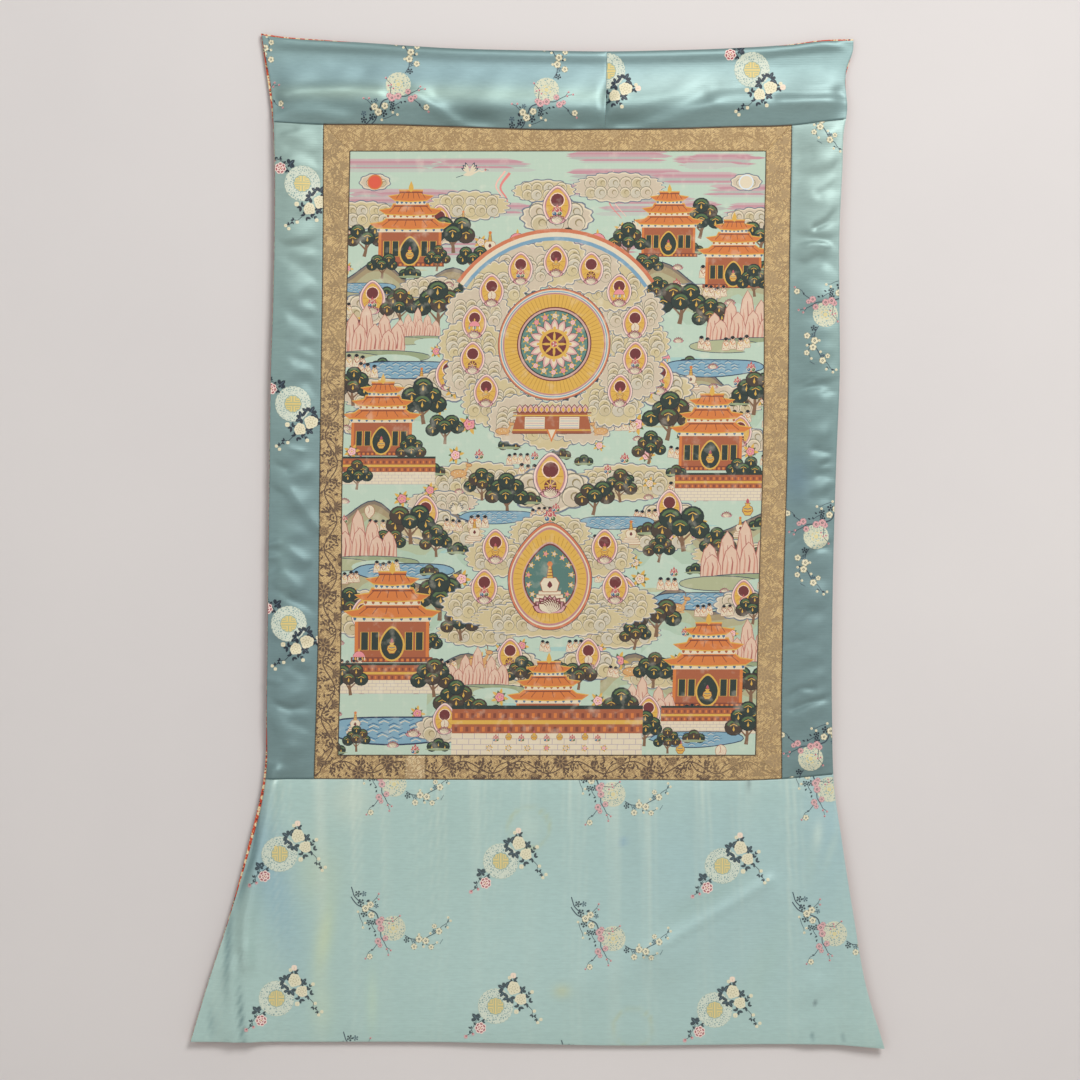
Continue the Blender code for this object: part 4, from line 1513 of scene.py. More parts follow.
@dataclass(frozen=True)
class LeafScroll:
    """The brocade's pattern: a waving vine with rosettes, palmettes and curled leaves.

    Args:
        length, width: the strip's size.
        seed: picks the order of the flowers.
        dark, soft: the two inks.
    """

    length: float
    width: float
    seed: int
    dark: str
    soft: str

    def draw(self) -> Drawing:
        """The scroll along the strip, from its start at the left."""
        made, pick = Drawing(), random.Random(self.seed)
        wave, reach = 62.0, self.width * 0.24
        start = pick.uniform(0, wave)

        def vine(u: float) -> Point:
            return u, reach * math.sin(math.tau * (u + start) / wave)

        steps = int(self.length / 6) + 3
        made.line([vine(6.0 * i - 6) for i in range(steps)], 1.15, self.dark, smooth=2)
        flowers = [self.rosette, self.palmette, self.carnation, self.fruit]
        heads: list[Point] = []
        at = -wave / 4 + (wave / 4 - start) % (wave / 2)
        while at < self.length + 14:
            side = -1 if vine(at)[1] > 0 else 1
            head = (at + pick.uniform(-3, 3), side * self.width * 0.24)
            heads.append(head)
            made.line([vine(at - 14), (at - 8, head[1] * 0.3), head], 0.95, self.dark)
            pick.choice(flowers)(made, *head, pick.uniform(7.4, 8.8), side * 90)
            for back, lean, size in ((12, 62, 12), (-20, 130, 11), (2, -70, 9), (17, -118, 9)):
                self.sprig(made, pick, vine(at + back), side * lean, size)
            at += wave / 2
        for i in range(int(self.length / 4.4) + 2):
            for lane in (-0.41, -0.14, 0.13, 0.4):
                u = 4.4 * i + pick.uniform(-1.4, 1.4)
                v = self.width * (lane + pick.uniform(-0.05, 0.05))
                clear = min((math.dist((u, v), head) for head in heads), default=99.0)
                if clear < 8.5 or abs(v - vine(u)[1]) < 2.4:
                    continue
                lean = 40 + 90 * (i % 2) + pick.uniform(-34, 34)
                ink = self.dark if pick.random() < 0.75 else self.soft
                made.petal(u, v, pick.uniform(4.2, 6.2), pick.uniform(1.5, 2.1), lean, ink, 0.6)
        return made

    def sprig(self, made: Drawing, pick: random.Random, root: Point, lean: float,
            size: float) -> None:
        """A side shoot with curled leaves on both sides."""
        bend = pick.choice((-1, 1)) * 0.22 * size
        tip = around(*root, size, lean)
        middle = around((root[0] + tip[0]) / 2, (root[1] + tip[1]) / 2, bend, lean + 90)
        made.line([root, middle, tip], 0.85, self.dark)
        for part, turn in ((0.3, 55), (0.45, -55), (0.65, 45), (0.8, -45), (1.0, 0)):
            x = root[0] + part * (tip[0] - root[0])
            z = root[1] + part * (tip[1] - root[1])
            made.petal(x, z, size * 0.46, size * 0.21, lean + turn, self.dark, 0.6)

    def rosette(self, made: Drawing, x: float, z: float, size: float, lean: float) -> None:
        """A round flower with double petals."""
        for i in range(9):
            made.petal(x, z, size, size * 0.55, 40 * i, self.soft, 0.74)
            made.petal(x, z, size * 0.9, size * 0.3, 40 * i, self.dark, 0.74)
        made.disc(x, z, size * 0.34, self.soft)
        made.disc(x, z, size * 0.2, self.dark)

    def palmette(self, made: Drawing, x: float, z: float, size: float, lean: float) -> None:
        """A fan of pointed leaves on a short stem."""
        for turn in (-84, -56, -28, 0, 28, 56, 84):
            share = 1.25 - abs(turn) / 170
            root = (x, z - size * 0.3)
            made.petal(*root, size * share, size * 0.34, 90 + turn, self.soft, 0.6)
            made.petal(*root, size * share * 0.86, size * 0.16, 90 + turn, self.dark, 0.6)

    def carnation(self, made: Drawing, x: float, z: float, size: float, lean: float) -> None:
        """A flower from the side, its petals toothed."""
        for turn in (-60, -36, -12, 12, 36, 60):
            made.petal(x, z, size * 1.05, size * 0.36, lean + turn, self.dark, 0.8)
        made.petal(x, z, size * 0.6, size * 0.5, lean, self.soft, 0.5)
        made.petal(x, z, -size * 0.5, size * 0.4, lean, self.dark, 0.4)

    def fruit(self, made: Drawing, x: float, z: float, size: float, lean: float) -> None:
        """A seeded fruit between two leaves."""
        for turn in (-52, 52):
            made.petal(x, z - size * 0.2, size * 1.2, size * 0.36, lean + turn, self.dark, 0.55)
        made.scallops(x, z, size * 0.62, 7, self.soft)
        for i in range(7):
            made.disc(*around(x, z, size * 0.34, 51.4 * i), 0.75, self.dark)
        made.disc(x, z, 0.8, self.dark)


# ---------------------------------------------------------------- the painted canvas

MINT, ROSE_SKY, INK, MAROON = "#b3c5b1", "#b98a90", "#2c3a50", "#6a302f"
BRICK, BRICK_DEEP, ORANGE, LEAF_GOLD = "#a05a3a", "#7d4230", "#c9753a", "#cfa44a"
CLOUD, PALE_CLOUD, SHELL = "#c4b48a", "#c4b49c", "#d6c8ac"
PINE, PINE_DEEP, PINE_LIGHT, BARK = "#2a3630", "#191f22", "#536a42", "#7a5c44"
LAKE, LAKE_DEEP, ROCK, ROCK_LINE = "#7c9fae", "#3f6684", "#d3b49c", "#a9655a"


def edged(made: Drawing, outline: Array, colour: str, edge: str = INK, by: float = 0.45) -> None:
    """Adds a shape with a thin painted outline around it."""
    outline = np.array(outline, float)
    run = np.roll(outline, -1, 0) - np.roll(outline, 1, 0)
    run /= np.maximum(np.hypot(run[:, 0], run[:, 1]), 1e-6)[:, None]
    x, z = outline.T
    turning = x @ np.roll(z, -1) - z @ np.roll(x, -1)
    away = np.column_stack([run[:, 1], -run[:, 0]]) * math.copysign(by, turning)
    made.patch(outline + away, edge)
    made.patch(outline, colour)


def oval(x: float, z: float, wide: float, high: float, steps: int = 22) -> Array:
    """The outline of an oval."""
    angles = np.arange(steps) / steps * math.tau
    return np.column_stack([x + wide * np.cos(angles), z + high * np.sin(angles)])


def almond(x: float, z: float, wide: float, high: float, steps: int = 24) -> Array:
    """The outline of an oval that is pointed above."""
    outline = oval(0, 0, wide, high, steps)
    lifted = np.maximum(outline[:, 1], 0) / high
    outline[:, 0] *= 1 - 0.28 * lifted**2
    outline[:, 1] += 0.1 * high * lifted**3
    return outline + (x, z)


class Motifs:
    """The small scenes that the painter's generic landscape is made of, each at its own origin."""

    def __init__(self) -> None:
        """Starts the order of the small differences between the motifs."""
        self.pick = random.Random(108)

    def tree(self) -> Drawing:
        """A round-crowned tree with golden drops."""
        made, pick = Drawing(), self.pick
        lean = pick.uniform(-1.5, 1.5)
        made.line([(0, 0), (0.4 + lean, 6), (lean, 12)], 2.6, BARK, 1.4, 2)
        for side in (-1, 1):
            made.line([(lean, 5), (side * 5, 11)], 1.3, BARK, 0.7, 1)
        spots = [(-9.5, 12), (9.5, 12.5), (-5.5, 18), (5.8, 18.4), (0.3, 13.5), (0.5, 23)]
        for x, z in spots[: pick.choice((5, 6, 6))]:
            x, z = x + lean + pick.uniform(-1, 1), z + pick.uniform(-1, 1)
            size = pick.uniform(5, 6.2)
            made.disc(x, z, size + 0.35, PINE_DEEP, 0.9)
            made.disc(x, z, size, pick.choice((PINE, PINE, "#45392f")), 0.9)
            made.arc(x, z - 0.6, (size * 0.62, size * 0.86), (25, 155), PINE_LIGHT)
            made.petal(x, z + 1.8, 4.6, 1.5, -90, LEAF_GOLD, 0.75)
            made.line([(x - 2.4, z + 0.9), (x, z + 2.1), (x + 2.4, z + 0.9)], 0.5, LEAF_GOLD,
                smooth=1)
        return made

    def cloud(self, wide: float = 26, high: float = 9, colour: str = CLOUD) -> Drawing:
        """A bank of curled cloud with a scalloped edge."""
        made, pick = Drawing(), self.pick
        lobes = max(9, int((wide + high) / 3))
        lean = pick.uniform(0, 40)
        for grow, ink in ((1.2, "#6b7480"), (0, SHELL), (-1.5, colour)):
            made.scallops(0, 0, wide + grow, lobes, ink, 0.13, (high + grow) / (wide + grow), lean)
        tiers = max(1, round(high / 8))
        for tier in range(tiers):
            z = high * (0.3 - 0.62 * tier / max(1, tiers - 1)) if tiers > 1 else -0.1 * high
            reach = wide * 0.76 * math.sqrt(1 - (z / high) ** 2)
            count = max(2, round(reach / 6.2))
            for i in range(count):
                x = reach * (2 * (i + 0.5 + pick.uniform(-0.15, 0.15)) / count - 1)
                size = min(pick.uniform(5.8, 7.8), high * 0.5)
                fill = (colour, "#bdae8a", "#c0b7a2")[(i + tier) % 3]
                made.disc(x, z, size, "#7d7763")
                made.disc(x, z - 0.2, size - 0.6, SHELL)
                made.disc(x, z - 0.9, size - 1.3, fill)
                made.disc(x + 1.6, z + 0.2, size * 0.42, "#8c7d58")
                made.disc(x + 1.9, z - 0.2, size * 0.34, fill)
        return made

    def niche(self) -> Drawing:
        """A treasure before a golden almond, on its own cloud."""
        made, pick = Drawing(), self.pick
        made.add(self.cloud(26, 13, pick.choice((CLOUD, PALE_CLOUD))), 0, 1)
        treasure = pick.choice((self.vase, self.jewels, self.wheel, self.conch))
        made.add(self.medallion(treasure()), 0, 0)
        return made

    def pilgrims(self) -> Drawing:
        """A few travellers in white, sprigged robes, seen from a long way off."""
        made, pick = Drawing(), self.pick
        for i in range(pick.choice((2, 3, 4, 4))):
            x, z = 6.2 * i + pick.uniform(-0.8, 0.8), pick.uniform(-1.6, 1.6)
            robe = [(-3.3, 0), (3.3, 0), (2.8, 3.6), (2.2, 7.2), (-2.0, 7.4), (-2.9, 3.6)]
            edged(made, smoothed([(x + u, z + v) for u, v in robe], 2), SHELL, ROCK_LINE, 0.35)
            for u, v in ((-1.8, 1.4), (0.4, 2.2), (2.0, 1.0), (-0.8, 4.2), (1.4, 4.6), (-0.2, 6.2)):
                made.disc(x + u, z + v, 0.5, pick.choice(("#c08078", ROCK_LINE, "#b7a06a")))
            made.line([(x - 2, z + 6.8), (x + 0.4, z + 3.4), (x + 2.2, z + 5.6)], 0.8,
                pick.choice((BRICK, ORANGE, LEAF_GOLD)), 0.4, 2)
            made.disc(x, z + 9.4, 2.3, INK)
            made.disc(x, z + 9.1, 1.9, "#cfa888")
            made.disc(x, z + 10.1, 1.7, PINE_DEEP)
        return made

    def bush(self) -> Drawing:
        """A low dark bush with golden drops and a few flowers."""
        made, pick = Drawing(), self.pick
        for x, z, size in ((-6, 3, 4.6), (6, 3, 4.4), (0, 5.4, 5.4)):
            made.disc(x, z, size + 0.4, PINE_DEEP)
            made.disc(x, z, size, pick.choice((PINE, "#45392f", PINE)))
            made.arc(x, z - 0.4, (size * 0.6, size * 0.86), (30, 150), PINE_LIGHT)
            made.petal(x, z + 1.4, 3.8, 1.3, -90, LEAF_GOLD, 0.75)
        made.petal(-13, 0.4, 26, 2.6, 0, "#8f9a76", 0.5)
        return made

    def pavilion(self) -> Drawing:
        """A brick-red hall with stacked orange roofs and a golden spire."""
        made, wide = Drawing(), 21.0
        made.patch(box(-wide, 0, wide, 20), BRICK)
        made.patch(box(-wide - 2, -3, wide + 2, 0), BRICK_DEEP)
        for x in np.linspace(-wide, wide, 15):
            made.patch(box(x - 0.8, -2.4, x + 0.8, -0.9), ORANGE)
        made.patch(almond(0, 7, 7.2, 9.5), LEAF_GOLD)
        made.patch(almond(0, 7, 6.2, 8.4), PINE)
        made.add(self.vase(), 0, 2.2, 0, 0.9)
        for side in (-1, 1):
            for x in (9.6, 15.4):
                edged(made, box(side * x - 1.9, 4, side * x + 1.9, 14), PINE, LEAF_GOLD, 0.5)
            made.patch(box(side * 20 - 0.9, 0, side * 20 + 0.9, 20), ORANGE)
        foot = 20.0
        for tier in range(3):
            reach = (wide + 4) * (1 - 0.24 * tier)
            made.patch(box(-reach + 3, foot, reach - 3, foot + 3), SHELL)
            for x in np.linspace(-reach + 4, reach - 4, 9 - tier):
                made.petal(x, foot + 3, 2.6, 1.9, -90, LAKE_DEEP if tier % 2 == 0 else BRICK, 0.5)
            eaves = [(reach - 2.5, 3), (reach + 2, 5.5), (reach - 6, 6.6), (reach * 0.62, 9.4)]
            roof = [(0, 2.2), *eaves, *[(-x, z) for x, z in reversed(eaves)]]
            edged(made, [(x, foot + z) for x, z in roof], ORANGE, LEAF_GOLD, 0.7)
            made.line([(-reach * 0.6, foot + 8.2), (reach * 0.6, foot + 8.2)], 0.8, BRICK_DEEP)
            for x in np.linspace(-reach * 0.55, reach * 0.55, 6):
                made.line([(x, foot + 8), (x * 1.35, foot + 4.2)], 0.4, BRICK_DEEP)
            foot += 9.2
        made.petal(0, foot - 1, 7.5, 3.4, 90, LEAF_GOLD, 0.35)
        return made

    def rocks(self, wide: float = 22, high: float = 30) -> Drawing:
        """A crag of pale pink pillars with rose streaks, on a mound."""
        made, pick = Drawing(), self.pick
        for i in range(9):
            x = (i % 5 - 2) * wide / 2.6 + pick.uniform(-1.5, 1.5) + (i > 4) * 3
            tall = high * (1 - abs(x) / wide * 0.55) * (0.94 if i < 5 else 0.62)
            crag = [(x - 4.2, 0), (x + 4.2, 0), (x + 3.8, tall * 0.55), (x + 2.2, tall * 0.86),
                (x, tall), (x - 2.6, tall * 0.82), (x - 3.9, tall * 0.5)]
            edged(made, crag, ROCK, ROCK_LINE, 0.4)
            for k in range(3):
                run = x - 2.3 + 2.3 * k
                foot, head = pick.uniform(0.02, 0.2), pick.uniform(0.64, 0.8)
                streak = [(run, tall * foot), (run + 0.6, tall * 0.5), (run, tall * head)]
                made.line(streak, 1.0, ROCK_LINE if k % 2 else "#c48c78", 0.3, 1)
        for x, z, reach, ink in ((0.3, -1, 1.25, "#8f9a76"), (-0.5, -2.2, 0.9, "#a6a984"),
                (0.6, -3.4, 0.7, MINT)):
            around_it = MINT if ink == MINT else INK
            edged(made, oval(x * wide, z, wide * reach, 3.4), ink, around_it, 0.35)
        return made

    def water(self, wide: float = 40, high: float = 12) -> Drawing:
        """A stretch of curling blue water."""
        made = Drawing()
        bank = [(-wide, 0), (-wide * 0.5, -high * 0.5), (wide * 0.2, -high * 0.55),
            (wide, -high * 0.1), (wide * 0.85, high * 0.4), (wide * 0.1, high * 0.5),
            (-wide * 0.7, high * 0.42)]
        edged(made, smoothed(bank + bank[:1], 4)[:-1], LAKE, INK, 0.8)
        for row in range(int(high / 2.4)):
            z = -high * 0.4 + row * 2.3
            reach = wide * (0.72 - 0.12 * abs(row - high / 5))
            for i in range(max(2, int(reach / 5))):
                x = -reach + i * 2 * reach / max(2, int(reach / 5))
                curl = [(x, z), (x + 2.6, z + 1.3), (x + 5.6, z + 0.2), (x + 7.4, z + 0.9)]
                made.line(curl, 0.6, LAKE_DEEP, 0.3, 1)
                foam = [(x + 0.6, z - 0.9), (x + 3, z + 0.2), (x + 5.6, z - 0.9)]
                made.line(foam, 0.45, SHELL, 0.3, 1)
        return made

    def lotus(self, petals: int = 7, colour: str = "#c99496") -> Drawing:
        """An open lotus seat."""
        made = Drawing()
        for ring, size in ((1, 5.6), (0.72, 4.6)):
            for i in range(petals):
                lean = 90 + (i - (petals - 1) / 2) * 150 / petals * ring
                made.petal(0, -1.2, size + 0.5, 2.7, lean, MAROON, 0.62)
                made.petal(0, -1.2, size, 2.2, lean, colour if ring == 1 else SHELL, 0.62)
        return made

    def vase(self) -> Drawing:
        """A golden treasure vase with a jewel in its mouth."""
        made = Drawing()
        body = [(-1.4, 0), (1.4, 0), (2.9, 2.4), (2.4, 4.4), (0.9, 5.4), (1.5, 6.6), (-1.5, 6.6),
            (-0.9, 5.4), (-2.4, 4.4), (-2.9, 2.4)]
        edged(made, body, LEAF_GOLD, BRICK_DEEP, 0.35)
        made.line([(-2.3, 2.4), (0, 1.8), (2.3, 2.4)], 0.5, BRICK, smooth=2)
        made.line([(-2, 3.9), (0, 3.4), (2, 3.9)], 0.4, LAKE_DEEP, smooth=2)
        made.petal(0, 6.3, 3.2, 2.0, 90, "#b0565c", 0.4)
        return made

    def wheel(self, radius: float = 5) -> Drawing:
        """An eight-spoked wheel."""
        made = Drawing()
        made.disc(0, 0, radius, LEAF_GOLD)
        made.disc(0, 0, radius * 0.8, MAROON)
        for i in range(8):
            made.petal(0, 0, radius * 0.84, radius * 0.17, 45 * i, LEAF_GOLD, 0.6)
            made.disc(*around(0, 0, radius * 1.06, 45 * i), radius * 0.1, LEAF_GOLD)
        made.disc(0, 0, radius * 0.3, LEAF_GOLD)
        made.disc(0, 0, radius * 0.2, "#b0565c")
        for i in range(3):
            made.petal(0, 0, radius * 0.2, radius * 0.1, 120 * i, SHELL, 0.7)
        return made

    def jewels(self) -> Drawing:
        """Three jewels in a flame."""
        made = Drawing()
        for lean in (-40, -20, 0, 20, 40):
            made.petal(0, -2, 9.4 - abs(lean) / 12, 3.6, 90 + lean, "#b0565c", 0.4)
            made.petal(0, -2, 7.6 - abs(lean) / 12, 2.2, 90 + lean, ORANGE, 0.4)
        for x, z, ink in ((-2, 0, LAKE_DEEP), (2, 0, PINE_LIGHT), (0, 2.6, "#b0565c")):
            made.disc(x, z, 2.0, SHELL)
            made.disc(x, z, 1.6, ink)
            made.disc(x - 0.4, z + 0.5, 0.5, SHELL)
        return made

    def stupa(self) -> Drawing:
        """A white shrine with a golden spire."""
        made = Drawing()
        for wide, foot, high in ((6, 0, 1.6), (5, 1.6, 1.4), (4.2, 3, 1.2)):
            edged(made, box(-wide, foot, wide, foot + high), SHELL, BRICK, 0.3)
        edged(made, [(-2.6, 4.2), (2.6, 4.2), (3.5, 7.4), (2.2, 9.3), (-2.2, 9.3), (-3.5, 7.4)],
            SHELL, BRICK, 0.3)
        made.petal(0, 5.4, 2.8, 2, 90, MAROON, 0.4)
        edged(made, [(-1.1, 9.3), (1.1, 9.3), (0.4, 14), (-0.4, 14)], LEAF_GOLD, BRICK_DEEP, 0.3)
        for step in range(3):
            made.line([(-1 + 0.2 * step, 10.2 + 1.2 * step), (1 - 0.2 * step, 10.2 + 1.2 * step)],
                0.3, BRICK_DEEP)
        made.disc(0, 14.6, 1.1, ORANGE)
        return made

    def parasol(self) -> Drawing:
        """A silk parasol with hanging tassels."""
        made = Drawing()
        made.line([(0, -4), (0, 6)], 0.6, BARK)
        edged(made, smoothed([(-5, 3), (-3.4, 6), (0, 7.6), (3.4, 6), (5, 3)], 2), "#d98a8e",
            MAROON, 0.3)
        for i in range(6):
            made.petal(-4.5 + 1.8 * i, 3.4, 3.4, 1.3, -90, (LAKE, LEAF_GOLD, SHELL)[i % 3], 0.6)
        made.petal(0, 7, 3, 1.5, 90, LEAF_GOLD, 0.4)
        return made

    def conch(self) -> Drawing:
        """A white shell."""
        made = Drawing()
        edged(made, smoothed([(0, -4), (3.6, 0), (3.4, 4), (0, 6), (-3, 3.4), (-2.6, -0.6),
            (0, -4)], 2)[:-1], SHELL, BRICK, 0.35)
        for k in range(3):
            made.arc(0.4, 2 - k * 0.4, (1 + k, 1.4 + k), (-150, 30), "#cfae98")
        made.line([(-0.4, 5.4), (0.4, 2.6), (-0.4, 0.4)], 0.4, ROCK_LINE, smooth=2)
        return made

    def medallion(self, inner: Drawing) -> Drawing:
        """A treasure on a lotus, before a golden almond with a rose rim."""
        made = Drawing()
        edged(made, almond(0, 9, 10.2, 13.0), "#e2c3b6", INK, 0.4)
        made.patch(almond(0, 9, 9.0, 11.8), "#b27e7d")
        made.patch(almond(0, 9, 8.0, 10.8), LEAF_GOLD)
        for i in range(11):
            way = math.radians(-60 + 30 * i)
            start = (3.4 * math.cos(way), 9 + 3.8 * math.sin(way))
            made.line([start, (7.3 * math.cos(way), 9 + 9.4 * math.sin(way))], 0.3, "#a87a34")
        made.disc(0, 13, 5.4, "#e9c8ae")
        made.disc(0, 13, 4.7, MAROON)
        made.add(inner, 0, 3.4, 0, 0.95)
        made.add(self.lotus(), 0, -2.2, 0, 1.15)
        return made

    def blossom(self) -> Drawing:
        """A painted peony with golden leaves."""
        made, pick = Drawing(), self.pick
        for i in range(5):
            made.petal(0, 0, 7.4, 2.5, 72 * i + pick.uniform(-14, 14), LEAF_GOLD, 0.55)
            made.petal(0, 0, 5.8, 2.2, 72 * i + 36, PINE_LIGHT, 0.55)
        ink = pick.choice(("#e5b6b3", "#d98f92", SHELL))
        made.scallops(0, 0, 4.1, 5, MAROON, 0.2)
        made.scallops(0, 0, 3.7, 5, ink, 0.2)
        for i in range(5):
            made.arc(0, 0, (1.6, 2.1), (72 * i, 72 * i + 44), "#b5606a")
        made.disc(0, 0, 0.8, LEAF_GOLD)
        return made

    def crane(self) -> Drawing:
        """A white crane in flight."""
        made = Drawing()
        for lean in (150, 132, 114, 66, 48, 30):
            made.petal(0, 0, 9.4 - abs(lean - 90) / 30, 1.9, lean, INK, 0.7)
            made.petal(0, 0, 8.2 - abs(lean - 90) / 30, 1.6, lean, SHELL, 0.6)
        made.petal(-5, -1.6, 10, 3.4, 12, SHELL, 0.5)
        made.line([(4, 0.2), (7, 1.6), (9.4, 0.8), (11.4, 2.2)], 1.0, SHELL, 0.7, 3)
        made.disc(11.6, 2.3, 0.9, "#b0565c")
        made.line([(12, 2.3), (14, 2)], 0.4, INK)
        made.line([(-4.6, -1.7), (-10, -3.4)], 0.4, INK)
        return made

    def deer(self) -> Drawing:
        """A deer at rest."""
        made = Drawing()
        coat = "#c99a62"
        edged(made, oval(0, 2.6, 6.2, 2.9, 18), coat, BRICK_DEEP, 0.35)
        made.line([(4.4, 3.6), (6.4, 6.4), (6.8, 8.6)], 2.2, coat, 1.5, 2)
        edged(made, oval(7.8, 9, 2.2, 1.2, 12), coat, BRICK_DEEP, 0.3)
        made.petal(6.4, 9.6, 2.4, 1.1, 130, coat, 0.5)
        for lean in (100, 122):
            made.line([(6.8, 10), (6.4 + lean / 90 - 1, 13), (5.2, 14.4)], 0.45, BARK, 0.3, 2)
        for x in (-4, 3.4):
            made.line([(x, 1), (x + 2.4, -0.6), (x - 1.2, -0.8)], 1.0, coat, 0.6, 2)
        for x, z in ((-3, 3.6), (-1, 2.6), (1, 3.8), (2.8, 2.7)):
            made.disc(x, z, 0.45, SHELL)
        return made

    def terrace(self, wide: float) -> Drawing:
        """A brick wall with toothed cornices over white stone courses."""
        made = Drawing()
        for foot, high, ink in ((0, 12, SHELL), (12, 5, BRICK), (17, 2.2, LEAF_GOLD),
                (19.2, 6, BRICK), (25.2, 2, PINE)):
            made.patch(box(-wide, foot, wide, foot + high), ink)
        for row in range(4):
            made.line([(-wide, 3 * row), (wide, 3 * row)], 0.3, "#a99aa0")
            for x in np.arange(-wide + 3 + 3 * (row % 2), wide, 6.5):
                made.line([(x, 3 * row), (x, 3 * row + 3)], 0.3, "#a99aa0")
        for foot, ink, other in ((13, ORANGE, BRICK_DEEP), (20.4, BRICK_DEEP, ORANGE)):
            for i, x in enumerate(np.arange(-wide + 1.5, wide - 0.5, 3.0)):
                made.patch(box(x, foot, x + 1.6, foot + 2.6), ink if i % 2 else other)
        return made

    def aureole(self, radius: float = 60) -> Drawing:
        """The great golden disc, ringed by a rainbow, with a lotus and a wheel of eight spokes."""
        made = Drawing()
        for share, ink in ((1.0, INK), (0.992, "#c2714e"), (0.965, SHELL), (0.945, "#7397ac"),
                (0.925, SHELL), (0.91, "#b27e7d"), (0.885, LEAF_GOLD)):
            made.patch(oval(0, 0, radius * share, radius * share, 72), ink)
        for i in range(72):
            ray = [around(0, 0, radius * share, 5 * i) for share in (0.64, 0.87)]
            made.line(ray, 0.5, "#a87a34")
        for share, ink in ((0.66, MAROON), (0.64, "#c39a8e"), (0.605, PINE), (0.585, "#5b7f74")):
            made.patch(oval(0, 0, radius * share, radius * share, 60), ink)
        for i in range(18):
            made.add(self.blossom(), *around(0, 0, radius * 0.5, 20 * i + 10), 20 * i, 0.74)
        for i in range(16):
            made.petal(0, 0, radius * 0.46, radius * 0.155, 22.5 * i, MAROON, 0.66)
            made.petal(0, 0, radius * 0.45, radius * 0.135, 22.5 * i, "#cfa39a", 0.66)
            made.petal(0, 0, radius * 0.4, radius * 0.08, 22.5 * i, SHELL, 0.7)
        made.add(self.wheel(radius * 0.27), 0, 0)
        return made

    def throne(self) -> Drawing:
        """A brick-red seat with a lotus and hanging silks."""
        made = Drawing()
        made.patch([(-44, -24), (44, -24), (38, 0), (-38, 0)], BRICK)
        for z, ink in ((-24, BRICK_DEEP), (-20.5, LEAF_GOLD), (-4.5, LEAF_GOLD),
                (-1.5, BRICK_DEEP)):
            made.line([(-43, z), (43, z)], 1.4, ink)
        for side in (-1, 1):
            edged(made, box(side * 8, -19, side * 30, -6), SHELL, MAROON, 0.5)
            for k in range(5):
                made.line([(side * 9, -8 - 2.5 * k), (side * 29, -8 - 2.5 * k)], 0.6,
                    ("#b98e9e", "#8aa5b8")[k % 2])
            made.add(self.deer() if side > 0 else mirrored(self.deer()), side * -54, -25, 0, 1.25)
        made.patch([(-6, -20), (6, -20), (0, -34)], ORANGE)
        made.patch([(-4, -20), (4, -20), (0, -30)], SHELL)
        for i in range(13):
            x = -36 + 6 * i
            made.petal(x, -2, 10, 7.4, 90, MAROON, 0.45)
            made.petal(x, -1.4, 8.4, 5.8, 90, "#cfa39a", 0.45)
            made.petal(x, -0.8, 5.6, 3.2, 90, LEAF_GOLD, 0.45)
        return made


def mirrored(drawing: Drawing) -> Drawing:
    """A drawing turned left for right."""
    return drawing.warped(lambda points: points * (-1, 1))


def hill(made: Drawing, ridge: Sequence[Point]) -> None:
    """A hill's ridge: an ink line with small ticks over a fading brown slope."""
    way = smoothed(ridge, 5)
    for drop, ink in ((46, "#a7bba4"), (34, "#a9b393"), (22, "#a8a27e"), (11, "#9c8b69"),
            (4, "#7f7160")):
        foot = way[::-1] - (0, drop) + np.sin(way[::-1, :1] * 0.16 + drop) * (0, 0.12 * drop)
        made.patch(np.concatenate([way, foot]), ink)
    made.line(ridge, 1.1, INK, 1.1, 5)
    for x, z in way[2::3]:
        made.line([(x, z), (x + 0.2, z + 2.2)], 0.45, INK, 0.2, 1)


# Ridges of hills: points to the right and up from the picture's upper left corner
HILLS = """
    0 -140 36 -120 74 -146 116 -128 150 -150
    306 -146 346 -122 392 -150 430 -126 462 -140
    0 -246 30 -230 68 -256 110 -238
    350 -262 392 -240 428 -264 462 -248
    0 -404 36 -384 74 -410 118 -396 150 -416
    316 -414 356 -394 404 -420 462 -398
    0 -470 40 -452 92 -478 132 -460
    330 -500 368 -480 408 -506 462 -486
    96 -572 140 -552 180 -576
    286 -574 324 -552 372 -580 410 -560 462 -584"""

